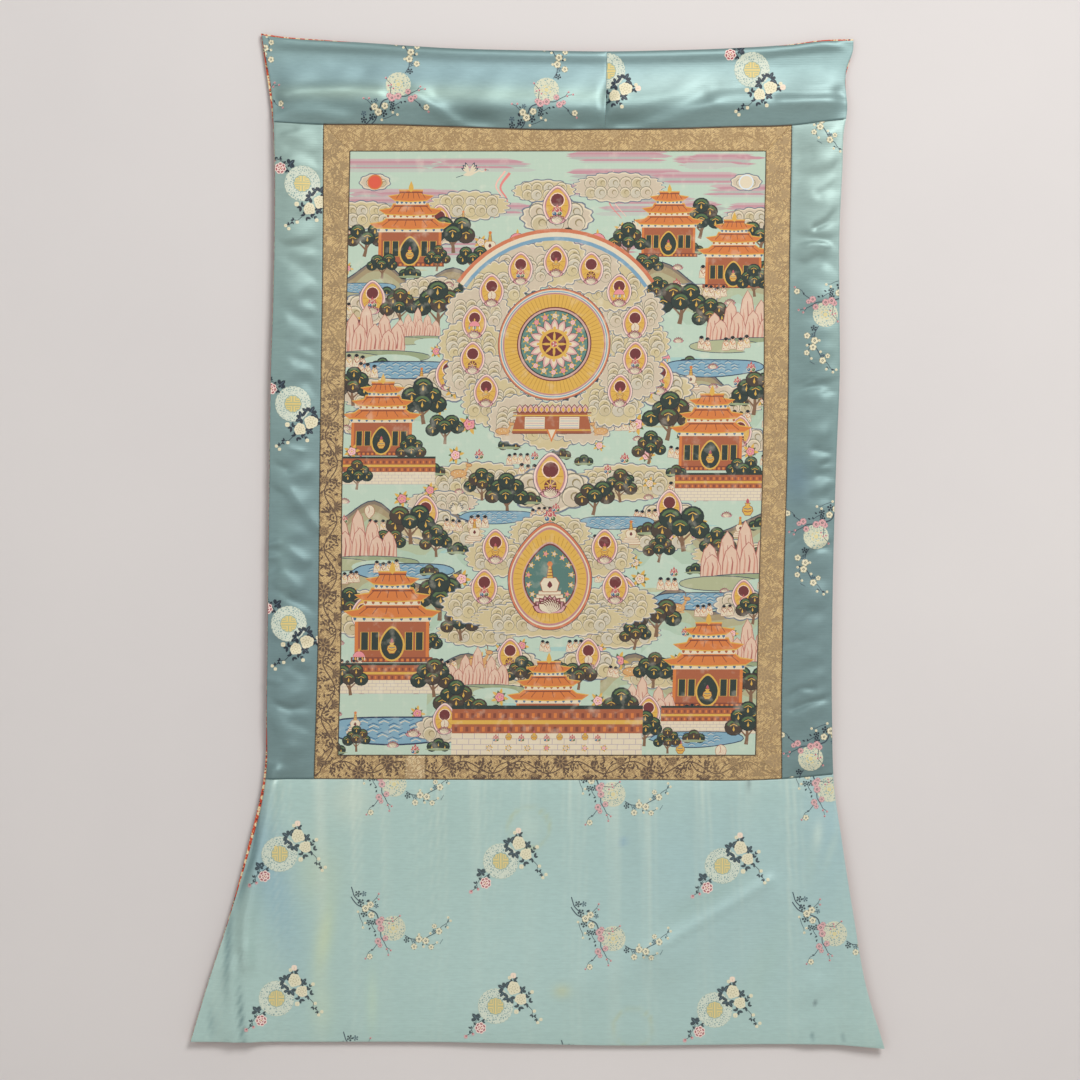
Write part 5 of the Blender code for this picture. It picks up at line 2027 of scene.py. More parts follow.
# What stands where: for each motif its places to the right and up, and its sizes
SCENERY = {
    "niche": """
        229 -74 1.35, 229 -374 1.6, 100 -88 1.1, 346 -262 1.25, 114 -258 1.25, 150 -500 1.2,
        312 -500 1.2, 186 -566 1.15, 272 -566 1.15, 28 -174 1.2, 436 -320 1.1, 92 -410 1.2,
        360 -404 1.2, 340 -628 1.1, 28 -300 1.1, 116 -636 1.1, 442 -500 1.1, 24 -520 1.1""",
    "crane": "132 -24 1.3, 318 -84 1.1, 126 -396 1.1, 348 -398 1.2",
    "rocks": """
        24 -224 1.5, 440 -210 1.5, 16 -450 1.5, 442 -470 1.7, 150 -590 1.2, 444 -566 1.4,
        334 -626 1.3, 78 -206 0.9""",
    "water": """
        66 -240 1.2, 402 -238 1.2, 66 -462 1.2, 394 -494 1.2, 66 -636 1.9, 170 -402 0.9,
        300 -408 0.9, 392 -646 1.1, 20 -150 0.7""",
    "tree": """
        18 -116 1.2, 116 -112 1.3, 136 -134 1, 38 -140 0.9, 98 -132 0.8, 306 -118 1.1, 386 -96 1.2,
        452 -112 1.2, 330 -140 0.9, 448 -160 1, 100 -196 1.5, 60 -190 1.1, 128 -172 0.8,
        366 -190 1.5, 402 -200 1.1, 340 -166 0.8, 88 -300 1.4, 10 -280 1.2, 112 -322 1.1,
        74 -344 0.9, 450 -290 1.4, 356 -318 1.5, 336 -344 1, 440 -366 1, 16 -372 0.9, 182 -398 1.2,
        276 -400 1.2, 154 -384 1, 306 -386 1, 76 -432 1.4, 104 -446 1, 54 -444 0.9, 376 -440 1.6,
        412 -452 1.1, 348 -452 0.9, 108 -516 1.5, 132 -538 1.1, 10 -520 1.1, 96 -556 0.9,
        346 -534 1.4, 322 -548 1, 452 -520 1, 452 -606 1.3, 344 -590 1.1, 12 -598 1.1, 104 -600 1.2,
        126 -628 1.3, 152 -646 1.2, 306 -642 1.4, 336 -654 1.1, 448 -652 1.3, 362 -662 0.8,
        200 -590 1, 262 -592 1, 20 -660 0.8""",
    "pavilion": """
        68 -122 1.35, 352 -112 1.15, 424 -146 1.2, 42 -330 1.3, 404 -346 1.35, 56 -556 1.6,
        404 -606 1.5, 229 -640 1.35""",
    "terrace": "44 -366 1, 424 -384 1, 52 -596 1.1, 229 -664 1.8, 412 -640 1",
    "blossom": """
        120 -262 1.3, 138 -300 1.5, 104 -282 1.1, 124 -334 1.2, 336 -262 1.3, 322 -300 1.5,
        352 -284 1.1, 334 -334 1.2, 66 -382 1.2, 392 -408 1.2, 132 -470 1.3, 328 -470 1.3,
        152 -560 1.3, 306 -560 1.3, 86 -618 1.1, 370 -560 1.2, 10 -330 1.1, 448 -330 1.1,
        14 -490 1.2, 420 -430 1.1, 176 -600 1.2, 284 -604 1.2, 128 -212 1, 334 -206 1, 146 -100 1,
        300 -86 1, 20 -186 1, 438 -180 1, 176 -548 1, 284 -548 1""",
    "stupa": """
        156 -116 1.5, 84 -262 1.3, 380 -262 1.4, 146 -430 1.4, 318 -432 1.4, 18 -640 1.3,
        438 -424 1.2, 126 -86 1.1""",
    "deer": "150 -566 1.3, 320 -576 1.2, 92 -488 1.2, 368 -506 1.2, 128 -358 1.1",
    "lotus": """
        44 -630 1.3, 82 -642 1.4, 112 -634 1.1, 60 -654 1.1, 396 -492 1.1, 66 -460 1.1, 404 -238 1,
        64 -238 1, 300 -406 0.9, 170 -400 0.9""",
    "parasol": "186 -104 1.6, 274 -104 1.6, 112 -236 1.2, 350 -232 1.2, 20 -560 1.2",
    "conch": "420 -662 1.4, 30 -398 1.3, 388 -380 1.2, 84 -404 1.2",
    "vase": """
        446 -400 1.7, 20 -352 1.7, 376 -662 1.4, 70 -362 1.4, 400 -384 1.5, 24 -596 1.5,
        84 -596 1.5""",
    "jewels": "150 -336 1.1, 310 -340 1.1, 446 -240 1.1, 140 -600 1.2, 318 -606 1.1",
}

# How much larger each motif is painted than it is drawn
LARGER = {"tree": 1.28, "pavilion": 1.22, "rocks": 1.35, "stupa": 1.2, "terrace": 1.12, "deer": 1.3}

# Banks of cloud: to the right and up, half width, half height
CLOUDS = rows_of(4, """
    132 -60 34 12, 296 -40 38 12, 214 -44 26 9, 16 -70 30 11, 446 -76 26 10, 56 -268 46 14,
    404 -276 44 14, 150 -362 44 15, 312 -364 44 15, 112 -420 34 12, 346 -424 32 12, 20 -500 34 13,
    430 -444 34 12, 150 -528 34 12, 306 -530 34 12, 92 -150 26 9, 376 -158 26 9, 352 -574 34 12,
    190 -574 30 10, 110 -386 30 9""")


class Picture:
    """A generic painted landscape of treasures, in the colours and at the scale of a thangka."""

    def __init__(self, cut: Cut, material: bpy.types.Material) -> None:
        """Keeps the canvas's edges and the paint."""
        self.cut, self.material, self.motifs, self.art = cut, material, Motifs(), Drawing()

    def draw(self) -> Drawing:
        """The whole picture, laid on the canvas."""
        self.sky()
        for (ridge,) in paths(0, HILLS):
            hill(self.art, ridge)
        for x, z, wide, high in CLOUDS:
            ink = (CLOUD, CLOUD, PALE_CLOUD)[int(abs(x)) % 3]
            self.art.add(self.motifs.cloud(wide * 1.35, high * 1.4, ink), x, z)
        placed = []
        for kind, spots in SCENERY.items():
            placed += [(z, kind, x, size) for x, z, size in rows_of(3, spots)]
        placed += self.filling([(x, z) for z, kind, x, _ in placed if kind != "water"])
        for z, kind, x, size in sorted(placed, reverse=True):
            motif = self.motifs.terrace(52) if kind == "terrace" else getattr(self.motifs, kind)()
            self.art.add(motif, x, z, 0, size * LARGER.get(kind, 1.15))
        self.heart()
        self.shrine()
        self.offerings()

        def on_cloth(points: Array) -> Array:
            """The painter's places as places on the cloth."""
            z = PICTURE_TOP + points[:, 1]
            return np.column_stack([PICTURE_LEFT(z) + points[:, 0], z])

        return self.art.warped(on_cloth)

    def filling(self, taken: list[Point]) -> list[tuple[float, str, float, float]]:
        """Small things for the open ground between the large ones.

        Args:
            taken: where things stand already.

        Returns:
            The height, the kind, the place to the right and the size of each.
        """
        pick, made = self.motifs.pick, []
        kinds = ("pilgrims", "bush", "pilgrims", "blossom", "bush", "lotus", "pilgrims", "jewels")
        for row in range(58):
            for column_at in range(34):
                x = 14 * column_at + pick.uniform(-4, 4)
                z = -100 - 9.8 * row + pick.uniform(-3, 3)
                if all(math.hypot(x - u, (z - v) * 1.4) > 23 for u, v in taken):
                    made.append((z, kinds[(row + column_at) % 8], x, pick.uniform(0.85, 1.05)))
                    taken.append((x, z))
        return made

    def sky(self) -> None:
        """Rose streaks over mint, with the sun and the moon in small clouds."""
        pick = self.motifs.pick
        for bank in range(26):
            x = pick.uniform(-30, 420)
            z = -pick.uniform(0, 60) if bank < 20 else -pick.uniform(60, 120)
            wide = pick.uniform(46, 120)
            for i in range(6):
                ink = ("#bda4a2", ROSE_SKY, "#b99a9b", "#a9aba2", ROSE_SKY, "#b4b9ad")[i]
                left, right = x + pick.uniform(-16, 10), x + wide + pick.uniform(-10, 16)
                foot, high = z - 2.2 * i, pick.uniform(2.0, 4.4)
                ends = box(left + 9, foot - high / 2, right - 9, foot + high / 2)
                self.art.patch([(left, foot), *ends[:2], (right, foot), *ends[2:]], ink)
        for i in range(40):
            x, z = pick.uniform(-30, 440), -pick.uniform(130, 650)
            ink = ("#9dbdb4", "#b5c5b2", "#b3b591")[i % 3]
            self.art.petal(x, z, pick.uniform(40, 110), pick.uniform(3, 7), 0, ink, 0.5)
        for x, disc, ray in ((28, "#d2573f", ORANGE), (436, SHELL, "#cfd8dc")):
            self.art.add(self.motifs.cloud(17, 9, PALE_CLOUD), x, -34)
            self.art.disc(x, -34, 8.4, ray)
            self.art.disc(x, -34, 7.0, disc)
        for side, middle in ((-1, 176), (1, 284)):
            ribbon = [(middle, -24), (middle + 10 * side, -40), (middle + 2 * side, -56),
                (middle + 16 * side, -74)]
            self.art.line(ribbon, 3.2, "#d97f78", 0.6, 6)
            self.art.line([(x + 5 * side, z + 2) for x, z in ribbon], 2.0, "#e8b0a0", 0.5, 6)

    def heart(self) -> None:
        """The great wheel, its clouds, and the ring of treasures around it."""
        x, z = 229, -212
        for i in range(16):
            way = math.radians(360 / 16 * i)
            spot = (x + 92 * math.cos(way), z + 90 * math.sin(way))
            self.art.add(self.motifs.cloud(36, 28, PALE_CLOUD if i % 2 else CLOUD), *spot)
        for radii, ink in (((127, 131), "#c2714e"), ((122, 127), SHELL), ((118, 122), "#7397ac")):
            self.art.arc(x, z - 4, radii, (34, 146), ink, 1.0)
        self.art.add(self.motifs.throne(), x, z - 74, 0, 1.0)
        self.art.add(self.motifs.aureole(62), x, z)
        treasures = [self.motifs.vase, self.motifs.jewels, self.motifs.conch, self.motifs.parasol,
            self.motifs.wheel]
        for i in range(11):
            way = math.radians(-36 + 25.2 * i)
            spot = (x + 91 * math.cos(way), z + 90 * math.sin(way) - 11)
            self.art.add(self.motifs.medallion(treasures[i % 5]()), *spot, 0, 1.32)

    def shrine(self) -> None:
        """The white shrine in its aureole, with clouds and treasures to both sides."""
        x, z = 229, -470
        for dx, dz, wide, high in ((-66, -26, 34, 15), (66, -26, 34, 15), (-48, 22, 30, 15),
                (48, 22, 30, 15), (0, 46, 34, 14), (0, -40, 64, 14)):
            self.art.add(self.motifs.cloud(wide * 1.35, high * 1.5), x + 1.12 * dx, z + 1.1 * dz)
        edged(self.art, almond(x, z, 46, 56, 60), "#c2714e", INK, 0.6)
        for share, ink in ((0.95, SHELL), (0.92, "#b27e7d"), (0.88, LEAF_GOLD), (0.66, "#c39a8e"),
                (0.63, MAROON), (0.6, "#51736a")):
            self.art.patch(almond(x, z, 46 * share, 56 * share, 60), ink)
        for i in range(48):
            way = math.radians(7.5 * i)
            across_it, up = 46 * math.cos(way), 56 * math.sin(way)
            ray = [(x + share * across_it, z + share * up) for share in (0.69, 0.85)]
            self.art.line(ray, 0.5, "#a87a34")
        for i in range(14):
            way = math.radians(-60 + 300 / 13 * i)
            spot = (x + 24 * math.cos(way), z + 28 * math.sin(way))
            self.art.add(self.motifs.blossom(), *spot, 0, 0.55)
        self.art.add(self.motifs.stupa(), x, z - 26, 0, 2.9)
        self.art.add(self.motifs.lotus(9), x, z - 34, 0, 3.4)
        for side in (-1, 1):
            for dx, dz, treasure in ((72, -14, self.motifs.jewels), (60, 30, self.motifs.vase)):
                self.art.add(self.motifs.medallion(treasure()), x + side * dx, z + dz - 8, 0, 1.4)
        self.art.add(self.motifs.jewels(), x, z + 66, 0, 1.7)

    def offerings(self) -> None:
        """The row of vases and jewels along the lower terrace."""
        for i in range(9):
            thing = (self.motifs.jewels, self.motifs.vase)[i % 2]()
            self.art.add(thing, 173 + 14 * i, -664 + 17, 0, 1.15 if i % 2 else 0.9)
        for i in range(7):
            self.art.add(self.motifs.blossom(), 166 + 21 * i, -656, 0, 0.6)

    def build(self) -> None:
        """Paints the canvas in tiles, each one piece."""
        picture = self.draw()
        columns, rows = 4, 6
        for row in range(rows):
            for column_at in range(columns):
                Skin(f"painting_{row + 1}_{column_at + 1}", picture,
                    self.cut.inset(0.1).outline((column_at / columns, (column_at + 1) / columns),
                    (row / rows, (row + 1) / rows), 2), front_face, self.material, "canvas",
                    ground=MINT, pitch=30.0, level=0.12).build()


# ---------------------------------------------------------------- sewing


@dataclass
class Overcast:
    """A seam oversewn by hand: short dark stitches that cross it a little aslant.

    Args:
        name: the piece's name.
        way: the seam's line.
        material: the thread's finish.
        pitch: the distance from one stitch to the next.
        reach: a stitch's length.
    """

    name: str
    way: Array
    material: bpy.types.Material
    pitch: float = 3.1
    reach: float = 2.3

    def build(self) -> bpy.types.Object:
        """Makes all the stitches of the seam as one piece."""
        pick = random.Random(len(self.way))
        steps = np.hypot(*np.diff(self.way, axis=0).T)
        along = np.concatenate([[0], np.cumsum(steps)])
        places = np.arange(self.pitch, along[-1] - self.pitch / 2, self.pitch)
        places = places + np.array([pick.uniform(-0.5, 0.5) for _ in places])
        x, z = (np.interp(places, along, self.way[:, axis]) for axis in (0, 1))
        run = np.interp(places + 1, along, self.way[:, 0]) - x
        climb = np.interp(places + 1, along, self.way[:, 1]) - z
        y = -front_face(x, z) - 0.12
        bm = bmesh.new()
        for i in range(len(places)):
            lean = math.atan2(climb[i], run[i]) + math.radians(90 + pick.uniform(-24, 10))
            size = Vector((self.reach * pick.uniform(0.35, 0.55), 0.24, 0.27))
            place = Matrix.Translation((x[i], y[i], z[i])) @ Matrix.Rotation(-lean, 4, "Y")
            shape = Matrix.Diagonal((*size, 1))
            bmesh.ops.create_icosphere(bm, subdivisions=1, radius=1, matrix=place @ shape)
        bmesh.ops.scale(bm, verts=bm.verts, vec=(MM, MM, MM))
        mesh = bpy.data.meshes.new(self.name)
        bm.to_mesh(mesh)
        bm.free()
        mesh.shade_smooth()
        piece = add_piece(self.name, mesh, self.material)
        log.info("%s: %d stitches", self.name, len(places))
        return piece


@dataclass
class Cord:
    """A dark cord that lies along a join and draws its dark line, a painted shadow for the narrow
    shade in the join; in the thread's colour it also stands for the seam's thread.

    Args:
        name: the piece's name.
        way: the join's line.
        material: its finish.
        radius: half its width.
    """

    name: str
    way: Array
    material: bpy.types.Material
    radius: float = 0.5

    def build(self) -> bpy.types.Object:
        """Makes the cord as one closed piece, from a ring drawn along the join."""
        x, z = self.way.T
        places = np.column_stack([x, -front_face(x, z) - 0.2, z])
        run = np.gradient(places, axis=0)
        bm = bmesh.new()
        turn = Vector((0, 0, 1)).rotation_difference(Vector(run[0])).to_matrix().to_4x4()
        start = Matrix.Translation(places[0]) @ turn
        made = bmesh.ops.create_circle(bm, cap_ends=True, segments=5, radius=self.radius,
            matrix=start)
        ring = list({edge for vert in made["verts"] for edge in vert.link_edges})
        for before, after in zip(places, places[1:]):
            grown = bmesh.ops.extrude_edge_only(bm, edges=ring)["geom"]
            verts = [item for item in grown if isinstance(item, bmesh.types.BMVert)]
            ring = [item for item in grown if isinstance(item, bmesh.types.BMEdge)
                and all(v in verts for v in item.verts)]
            bmesh.ops.translate(bm, verts=verts, vec=Vector(after - before))
        bmesh.ops.holes_fill(bm, edges=ring)
        bmesh.ops.recalc_face_normals(bm, faces=bm.faces)
        bmesh.ops.scale(bm, verts=bm.verts, vec=(MM, MM, MM))
        mesh = bpy.data.meshes.new(self.name)
        bm.to_mesh(mesh)
        bm.free()
        mesh.shade_smooth()
        log.info("%s: %.0f mm of thread", self.name, np.hypot(*np.diff(self.way, axis=0).T).sum())
        return add_piece(self.name, mesh, self.material)


def upright(line: Edge, top: float, bottom: float) -> Array:
    """Points down a line that gives x from z."""
    z = np.linspace(top, bottom, 90)
    return np.column_stack([line(z), z])


def across(line: Edge, left: float, right: float) -> Array:
    """Points along a line that gives z from x."""
    x = np.linspace(left, right, 90)
    return np.column_stack([x, line(x)])


# ---------------------------------------------------------------- the mount


def frame_corner(outer: Edge, seam: Edge) -> Point:
    """The outer corner of the brocade frame, where its side meets a seam."""
    x = outer(PICTURE_TOP)
    for _ in range(5):
        x = outer(seam(x))
    return float(x), float(seam(x))


def mitre(outer: Edge, inner: Edge, seam: Edge, height: float) -> tuple[Edge, Edge]:
    """A mitred corner's line, as x from z and as z from x."""
    corner, inside = frame_corner(outer, seam), (float(inner(height)), height)
    by_z = sorted([corner, inside], key=lambda point: point[1])
    by_x = sorted([corner, inside])
    as_x = Line(tuple(p[1] for p in by_z), tuple(p[0] for p in by_z))
    as_z = Line(tuple(p[0] for p in by_x), tuple(p[1] for p in by_x))
    return as_x, as_z


LEFT_TONE = Tone(
    "#77908d",
    fades_and_painted_light(
        """
        -290 -140 160 130 #92a9a0 0.85
        -290 -640 160 230 #6c8688 0.8
        -306 -330 12 120 #86a19b 0.5
        -300 -560 10 60 #809c98 0.4
        """
    ),
)
RIGHT_TONE = Tone(
    "#748e8c",
    fades_and_painted_light(
        """
        288 -120 160 130 #9cb3ab 0.85
        263 -471 15 26 #637f90 0.6
        288 -640 160 170 #70888a 0.6
        305 -300 9 60 #8fa9a2 0.5
        """
    ),
)
# On the top panel the paler rows across its middle, at z -36 to -50, are a painted highlight where
# the satin's sheen falls, and the darker rows along its top edge, at z 2, and over its lower seam,
# at z -62 to -76, are painted shade.
HEAD_TONE_AND_PAINTED_LIGHT = Tone(
    "#7e9997",
    fades_and_painted_light(
        """
        -120 -22 260 22 #86a3a8 0.7
        -200 -46 120 8 #a4bcae 0.7
        -20 -50 120 9 #a0b9ad 0.6
        140 -36 90 16 #a3bab4 0.5
        290 -40 60 20 #8ba29f 0.5
        -94 -72 40 9 #57706d 0.75 0
        60 -76 60 8 #5d7672 0.7
        -40 2 300 5 #657e7c 0.7
        -250 -62 60 7 #66807e 0.5
        """
    ),
)
# On the skirt, the narrow dark rows along the folds at its left edge (x -328.5 to -379), the two
# small dark marks in the creases at its hem (x 280.5 and 314) and the dark band over the slanting
# fold (x 170, z -927) are painted shade.
SKIRT_TONE_AND_PAINTED_SHADE = Tone(
    "#a3bfb7",
    fades_and_painted_light(
        """
        -313 -905 22 105 #8aadb6 0.85 -14
        300 -850 34 70 #90b1b8 0.6
        150 -880 90 60 #9bbab8 0.5
        -60 -1000 150 70 #aac6bf 0.6
        -328.5 -846 2.6 46 #4a6d71 0.7 7
        -341.5 -908 3.6 42 #456a6e 0.75 17
        -361 -982 3.8 42 #4a6d71 0.7 3
        -346.5 -1062 2.4 34 #4b6c6e 0.75 -4
        -379 -1070 4 18 #5f8283 0.5 -6
        -262 -902 22 36 #b4c4a8 0.5
        -256 -975 9 42 #bccba2 0.7 8
        -258 -1050 13 32 #b6c9ad 0.5
        -203 -1045 6 34 #b9cfb2 0.5
        -226 -822 26 26 #bfcdbb 0.6
        286 -862 5 17 #c9dacb 0.75 6
        300 -880 4 24 #b6ccbe 0.5 18
        279 -893 7 22 #aac3b5 0.5 8
        200 -940 190 130 #9cbbbf 0.4
        170 -927 13 62 #91ada4 0.55 60
        225 -1010 16 60 #9cb8ad 0.4 24
        84 -860 12 62 #98b4b0 0.4
        150 -850 9 50 #99b5b2 0.4
        190 -840 8 42 #97b3b0 0.4
        -128 -850 11 58 #98b5ad 0.35
        -20 -856 9 52 #9ab6b0 0.35
        280.5 -1083 1.3 6 #5f7f82 0.7
        314 -1086 1.5 6 #5b7b7e 0.7
        -30.8 -854 1.7 1.7 #a9b58b 0.7 0 22.5
        -30.8 -854 17 17 #b4cabd 0.5
        83.6 -1074 1.8 1.8 #a9b591 0.6 0 21.5
        5.5 -1033 9 7 #b9c19a 0.7
        72.6 -869 5 4 #7fa0b4 0.7
        283.3 -1045 2.6 2.6 #5c6f70 0.85
        210 -806 2.2 8 #566a6c 0.8
        """
    ),
    "#c9d6c6",
    0.34,
)


@dataclass(frozen=True)
class Finish:
    """What a piece of cloth is made of."""

    material: bpy.types.Material
    slot: str
    pitch: Point
    tone: Tone = Tone("#c9b083")


class Mount:
    """The satin and brocade pieces, the canvas and the lining, as cut and hung."""

    def __init__(self) -> None:
        """Makes the cuts and the finishes."""
        self.cuts = self.panels() | self.borders()
        self.finishes = self.dress()

    def panels(self) -> dict[str, Cut]:
        """The satin panels, the canvas and the lining."""
        g = SEWN_GAP
        left, top = front_left, front_top
        above, below = shifted(TOP_SEAM, -g), shifted(SKIRT_SEAM, g)
        canvas = (PICTURE_LEFT, PICTURE_RIGHT, level(PICTURE_TOP), level(PICTURE_BOTTOM))
        return {"top_panel_left": Cut(left, shifted(TOP_JOIN, -g), top, shifted(TOP_SEAM, g)),
            "top_panel_right": Cut(shifted(TOP_JOIN, g), RIGHT, top, shifted(TOP_SEAM, g)),
            "side_panel_left": Cut(left, shifted(FRAME_LEFT, -g), above, below),
            "side_panel_right": Cut(shifted(FRAME_RIGHT, g), RIGHT, above, below),
            "skirt": Cut(left, RIGHT, shifted(SKIRT_SEAM, -g), HEM),
            "painting": Cut(*canvas).inset(g), "lining": Cut(LEFT, RIGHT, TOP, HEM)}

    def borders(self) -> dict[str, Cut]:
        """The brocade frame's strips, mitred at their ends."""
        insert_left, insert_right = level(INSERT_LEFT), level(INSERT_RIGHT)
        foot = level(PICTURE_BOTTOM)
        top_left = mitre(FRAME_LEFT, PICTURE_LEFT, TOP_SEAM, PICTURE_TOP)
        top_right = mitre(FRAME_RIGHT, PICTURE_RIGHT, TOP_SEAM, PICTURE_TOP)
        foot_left = mitre(FRAME_LEFT, PICTURE_LEFT, SKIRT_SEAM, PICTURE_BOTTOM)
        foot_right = mitre(FRAME_RIGHT, PICTURE_RIGHT, SKIRT_SEAM, PICTURE_BOTTOM)
        edges = {"top": (top_left[0], top_right[0], TOP_SEAM, level(PICTURE_TOP)),
            "left": (FRAME_LEFT, PICTURE_LEFT, top_left[1], foot_left[1]), "right": (PICTURE_RIGHT,
            FRAME_RIGHT, top_right[1], foot_right[1]), "bottom_left": (foot_left[0], insert_left,
            foot, SKIRT_SEAM), "bottom_insert": (insert_left, insert_right, foot, SKIRT_SEAM),
            "bottom_right": (insert_right, foot_right[0], foot, SKIRT_SEAM)}
        return {f"border_{side}": Cut(*lines).inset(SEWN_GAP) for side, lines in edges.items()}

    def dress(self) -> dict[str, Finish]:
        """The finish of each piece."""
        satin = SilkSatin("figured_satin").material()
        faded = SilkSatin("faded_satin", 0.5, 0.15).material()
        brocade = GoldBrocade("gold_brocade", "#b99a68", "#d2b682").material()
        pale = GoldBrocade("pale_brocade", "#c5ab7e", "#dcc69c").material()
        strip = Finish(brocade, "brocade", (3.4, 3.4))
        canvas = Distemper("canvas").material()
        return {"top_panel_left": Finish(satin, "satin", (4.0, 2.6), HEAD_TONE_AND_PAINTED_LIGHT),
            "top_panel_right": Finish(satin, "satin", (4.0, 2.6), HEAD_TONE_AND_PAINTED_LIGHT),
            "side_panel_left": Finish(satin, "satin", (3.0, 2.3), LEFT_TONE),
            "side_panel_right": Finish(satin, "satin", (3.0, 2.3), RIGHT_TONE),
            "skirt": Finish(faded, "faded_satin", (4.2, 5.2), SKIRT_TONE_AND_PAINTED_SHADE), "border_top": strip,
            "border_left": strip, "border_right": strip, "border_bottom_left": strip,
            "border_bottom_insert": Finish(pale, "pale_brocade", (3.4, 3.4)),
            "border_bottom_right": strip, "painting": Finish(canvas, "canvas", (12.0, 12.0),
            Tone("#b9dac6")), "lining": Finish(PrintedCotton("printed_cotton").material(),
            "printed_cotton", (10.0, 20.0))}

    def build(self) -> None:
        """Makes every sheet, its woven flowers and its seams."""
        for node, cut in self.cuts.items():
            finish = self.finishes[node]
            face = lining_face if node == "lining" else front_face
            Sheet(node, cut, face, finish.tone, finish.material, finish.slot, finish.pitch).build()
        self.flowers()
        self.scrolls()
        self.seams()
        Picture(self.cuts["painting"], self.finishes["painting"].material).build()

    def flowers(self) -> None:
        """Lays the woven sprays on the satin."""
        floats = SilkFloats("silk_floats").material()
        drawn = {Spray.PEONY: PeonySpray().draw(), Spray.PLUM: PlumSpray().draw()}
        places = [(*group, *place) for *group, text in SPRAYS for place in rows_of(2, text)]
        for i, (panel, spray, turn, x, z) in enumerate(places):
            placed = Drawing()
            placed.add(drawn[spray], x, z, turn.value)
            Skin(f"{panel}_{spray.value}_{i + 1}", placed, self.cuts[panel].inset(0.4).outline(),
                front_face, floats, self.finishes[panel].slot, pitch=9.0 if panel == "skirt"
                else 3.4, tint=worn_and_shaded_floats if panel == "skirt" else None).build()

    def scrolls(self) -> None:
        """Lays the woven scroll on the brocade strips, in lengths of a hand's width."""
        floats = SilkFloats("gilt_floats", 0.7).material()
        for strip, upright_strip, seed, dark, soft in BROCADE_INKS:
            cut = self.cuts[strip]
            width, length = cut.size()
            run, wide = (length, width) if upright_strip else (width, length)
            drawn = LeafScroll(run, wide, seed, dark, soft).draw()
            laid = drawn.warped(lambda points: strip_place(cut, points, run, upright_strip))
            count = max(1, round(run / 118))
            for i in range(count):
                span = (i / count, (i + 1) / count)
                parts = {"down": span} if upright_strip else {"across": span}
                Skin(f"{strip}_scroll_{i + 1}", laid, cut.inset(0.5).outline(**parts), front_face,
                    floats, self.finishes[strip].slot, pitch=9.0, level=0.2,
                    tint=None if strip == "border_top" else worn_gilt).build()

    def seams(self) -> None:
        """Oversews the joins of the frame, and lays dark cords along the joins as a painted shadow.
        """
        thread = Matt("sewing_thread", "#3d362f", "#6b5b48", 9.0).material()
        (left, head_left), (right, head_right) = (frame_corner(outer, TOP_SEAM)
            for outer in (FRAME_LEFT, FRAME_RIGHT))
        foot_left, foot_right = (frame_corner(outer, SKIRT_SEAM) for outer in (FRAME_LEFT,
            FRAME_RIGHT))
        picture_left, picture_right = float(PICTURE_LEFT(-110.0)), float(PICTURE_RIGHT(-110.0))
        for name, way in (("frame_left", upright(FRAME_LEFT, head_left, foot_left[1])),
                ("frame_right", upright(FRAME_RIGHT, head_right, foot_right[1])),
                ("insert_left", upright(level(INSERT_LEFT), PICTURE_BOTTOM, -799.0)),
                ("insert_right", upright(level(INSERT_RIGHT), PICTURE_BOTTOM, -799.0))):
            Overcast(f"{name}_stitches", way, thread).build()
        # The shaded seam's cords, in the satin's darker colour, are no thread: they are a painted
        # shadow along the joins of the satin panels.
        shade = Matt("shaded_seam", "#4a5f60", "#5f7775", 9.0).material()
        for name, way, finish, radius in (("frame_left", upright(FRAME_LEFT, head_left,
                foot_left[1]), thread, 0.32), ("frame_right", upright(FRAME_RIGHT, head_right,
                foot_right[1]), thread, 0.32), ("frame_top", across(TOP_SEAM, left, right), thread,
                0.75), ("frame_bottom", across(SKIRT_SEAM, foot_left[0], foot_right[0]), thread,
                0.35), ("picture_left", upright(PICTURE_LEFT, PICTURE_TOP, PICTURE_BOTTOM), thread,
                0.5), ("picture_right", upright(PICTURE_RIGHT, PICTURE_TOP, PICTURE_BOTTOM), thread,
                0.5), ("picture_top", across(level(PICTURE_TOP), picture_left, picture_right),
                thread, 0.5), ("picture_bottom", across(level(PICTURE_BOTTOM), -240.0, 217.5),
                thread, 0.5), ("head_left", across(TOP_SEAM, -310.0, left), shade, 0.5),
                ("head_right", across(TOP_SEAM, right, 314.5), shade, 0.5),
                ("skirt_left", across(SKIRT_SEAM, -321.0, foot_left[0]), shade, 0.5),
                ("skirt_right", across(SKIRT_SEAM, foot_right[0], 302.5), shade, 0.5)):
            Cord(f"{name}_thread", way, finish, radius).build()


# The scroll on each brocade strip: piece, whether it runs down, seed, the two inks
BROCADE_INKS = (("border_left", True, 3, "#5c4838", "#8d7350"), ("border_right", True, 8, "#7a644d",
    "#9c815c"), ("border_top", False, 15, "#a1845a", "#b2966a"), ("border_bottom_left", False, 21,
    "#5a4636", "#8a704e"), ("border_bottom_insert", False, 27, "#a98c64", "#b99d72"),
    ("border_bottom_right", False, 33, "#5a4636", "#8a704e"))


def strip_place(cut: Cut, points: Array, run: float, upright_strip: bool) -> Array:
    """Where a scroll's points lie on its strip, which bends a little.

    Args:
        cut: the strip's edges.
        points: places along the strip and to its side.
        run: the strip's length.
        upright_strip: whether the strip runs down.
    """
    along, aside = points[:, 0], points[:, 1]
    if upright_strip:
        z = float(cut.top(cut.left(np.array(-100.0)))) - along
        return np.column_stack([(cut.left(z) + cut.right(z)) / 2 + aside, z])
    x = float(cut.left(cut.top(np.array(0.0)))) + along
    return np.column_stack([x, (cut.top(x) + cut.bottom(x)) / 2 + aside])


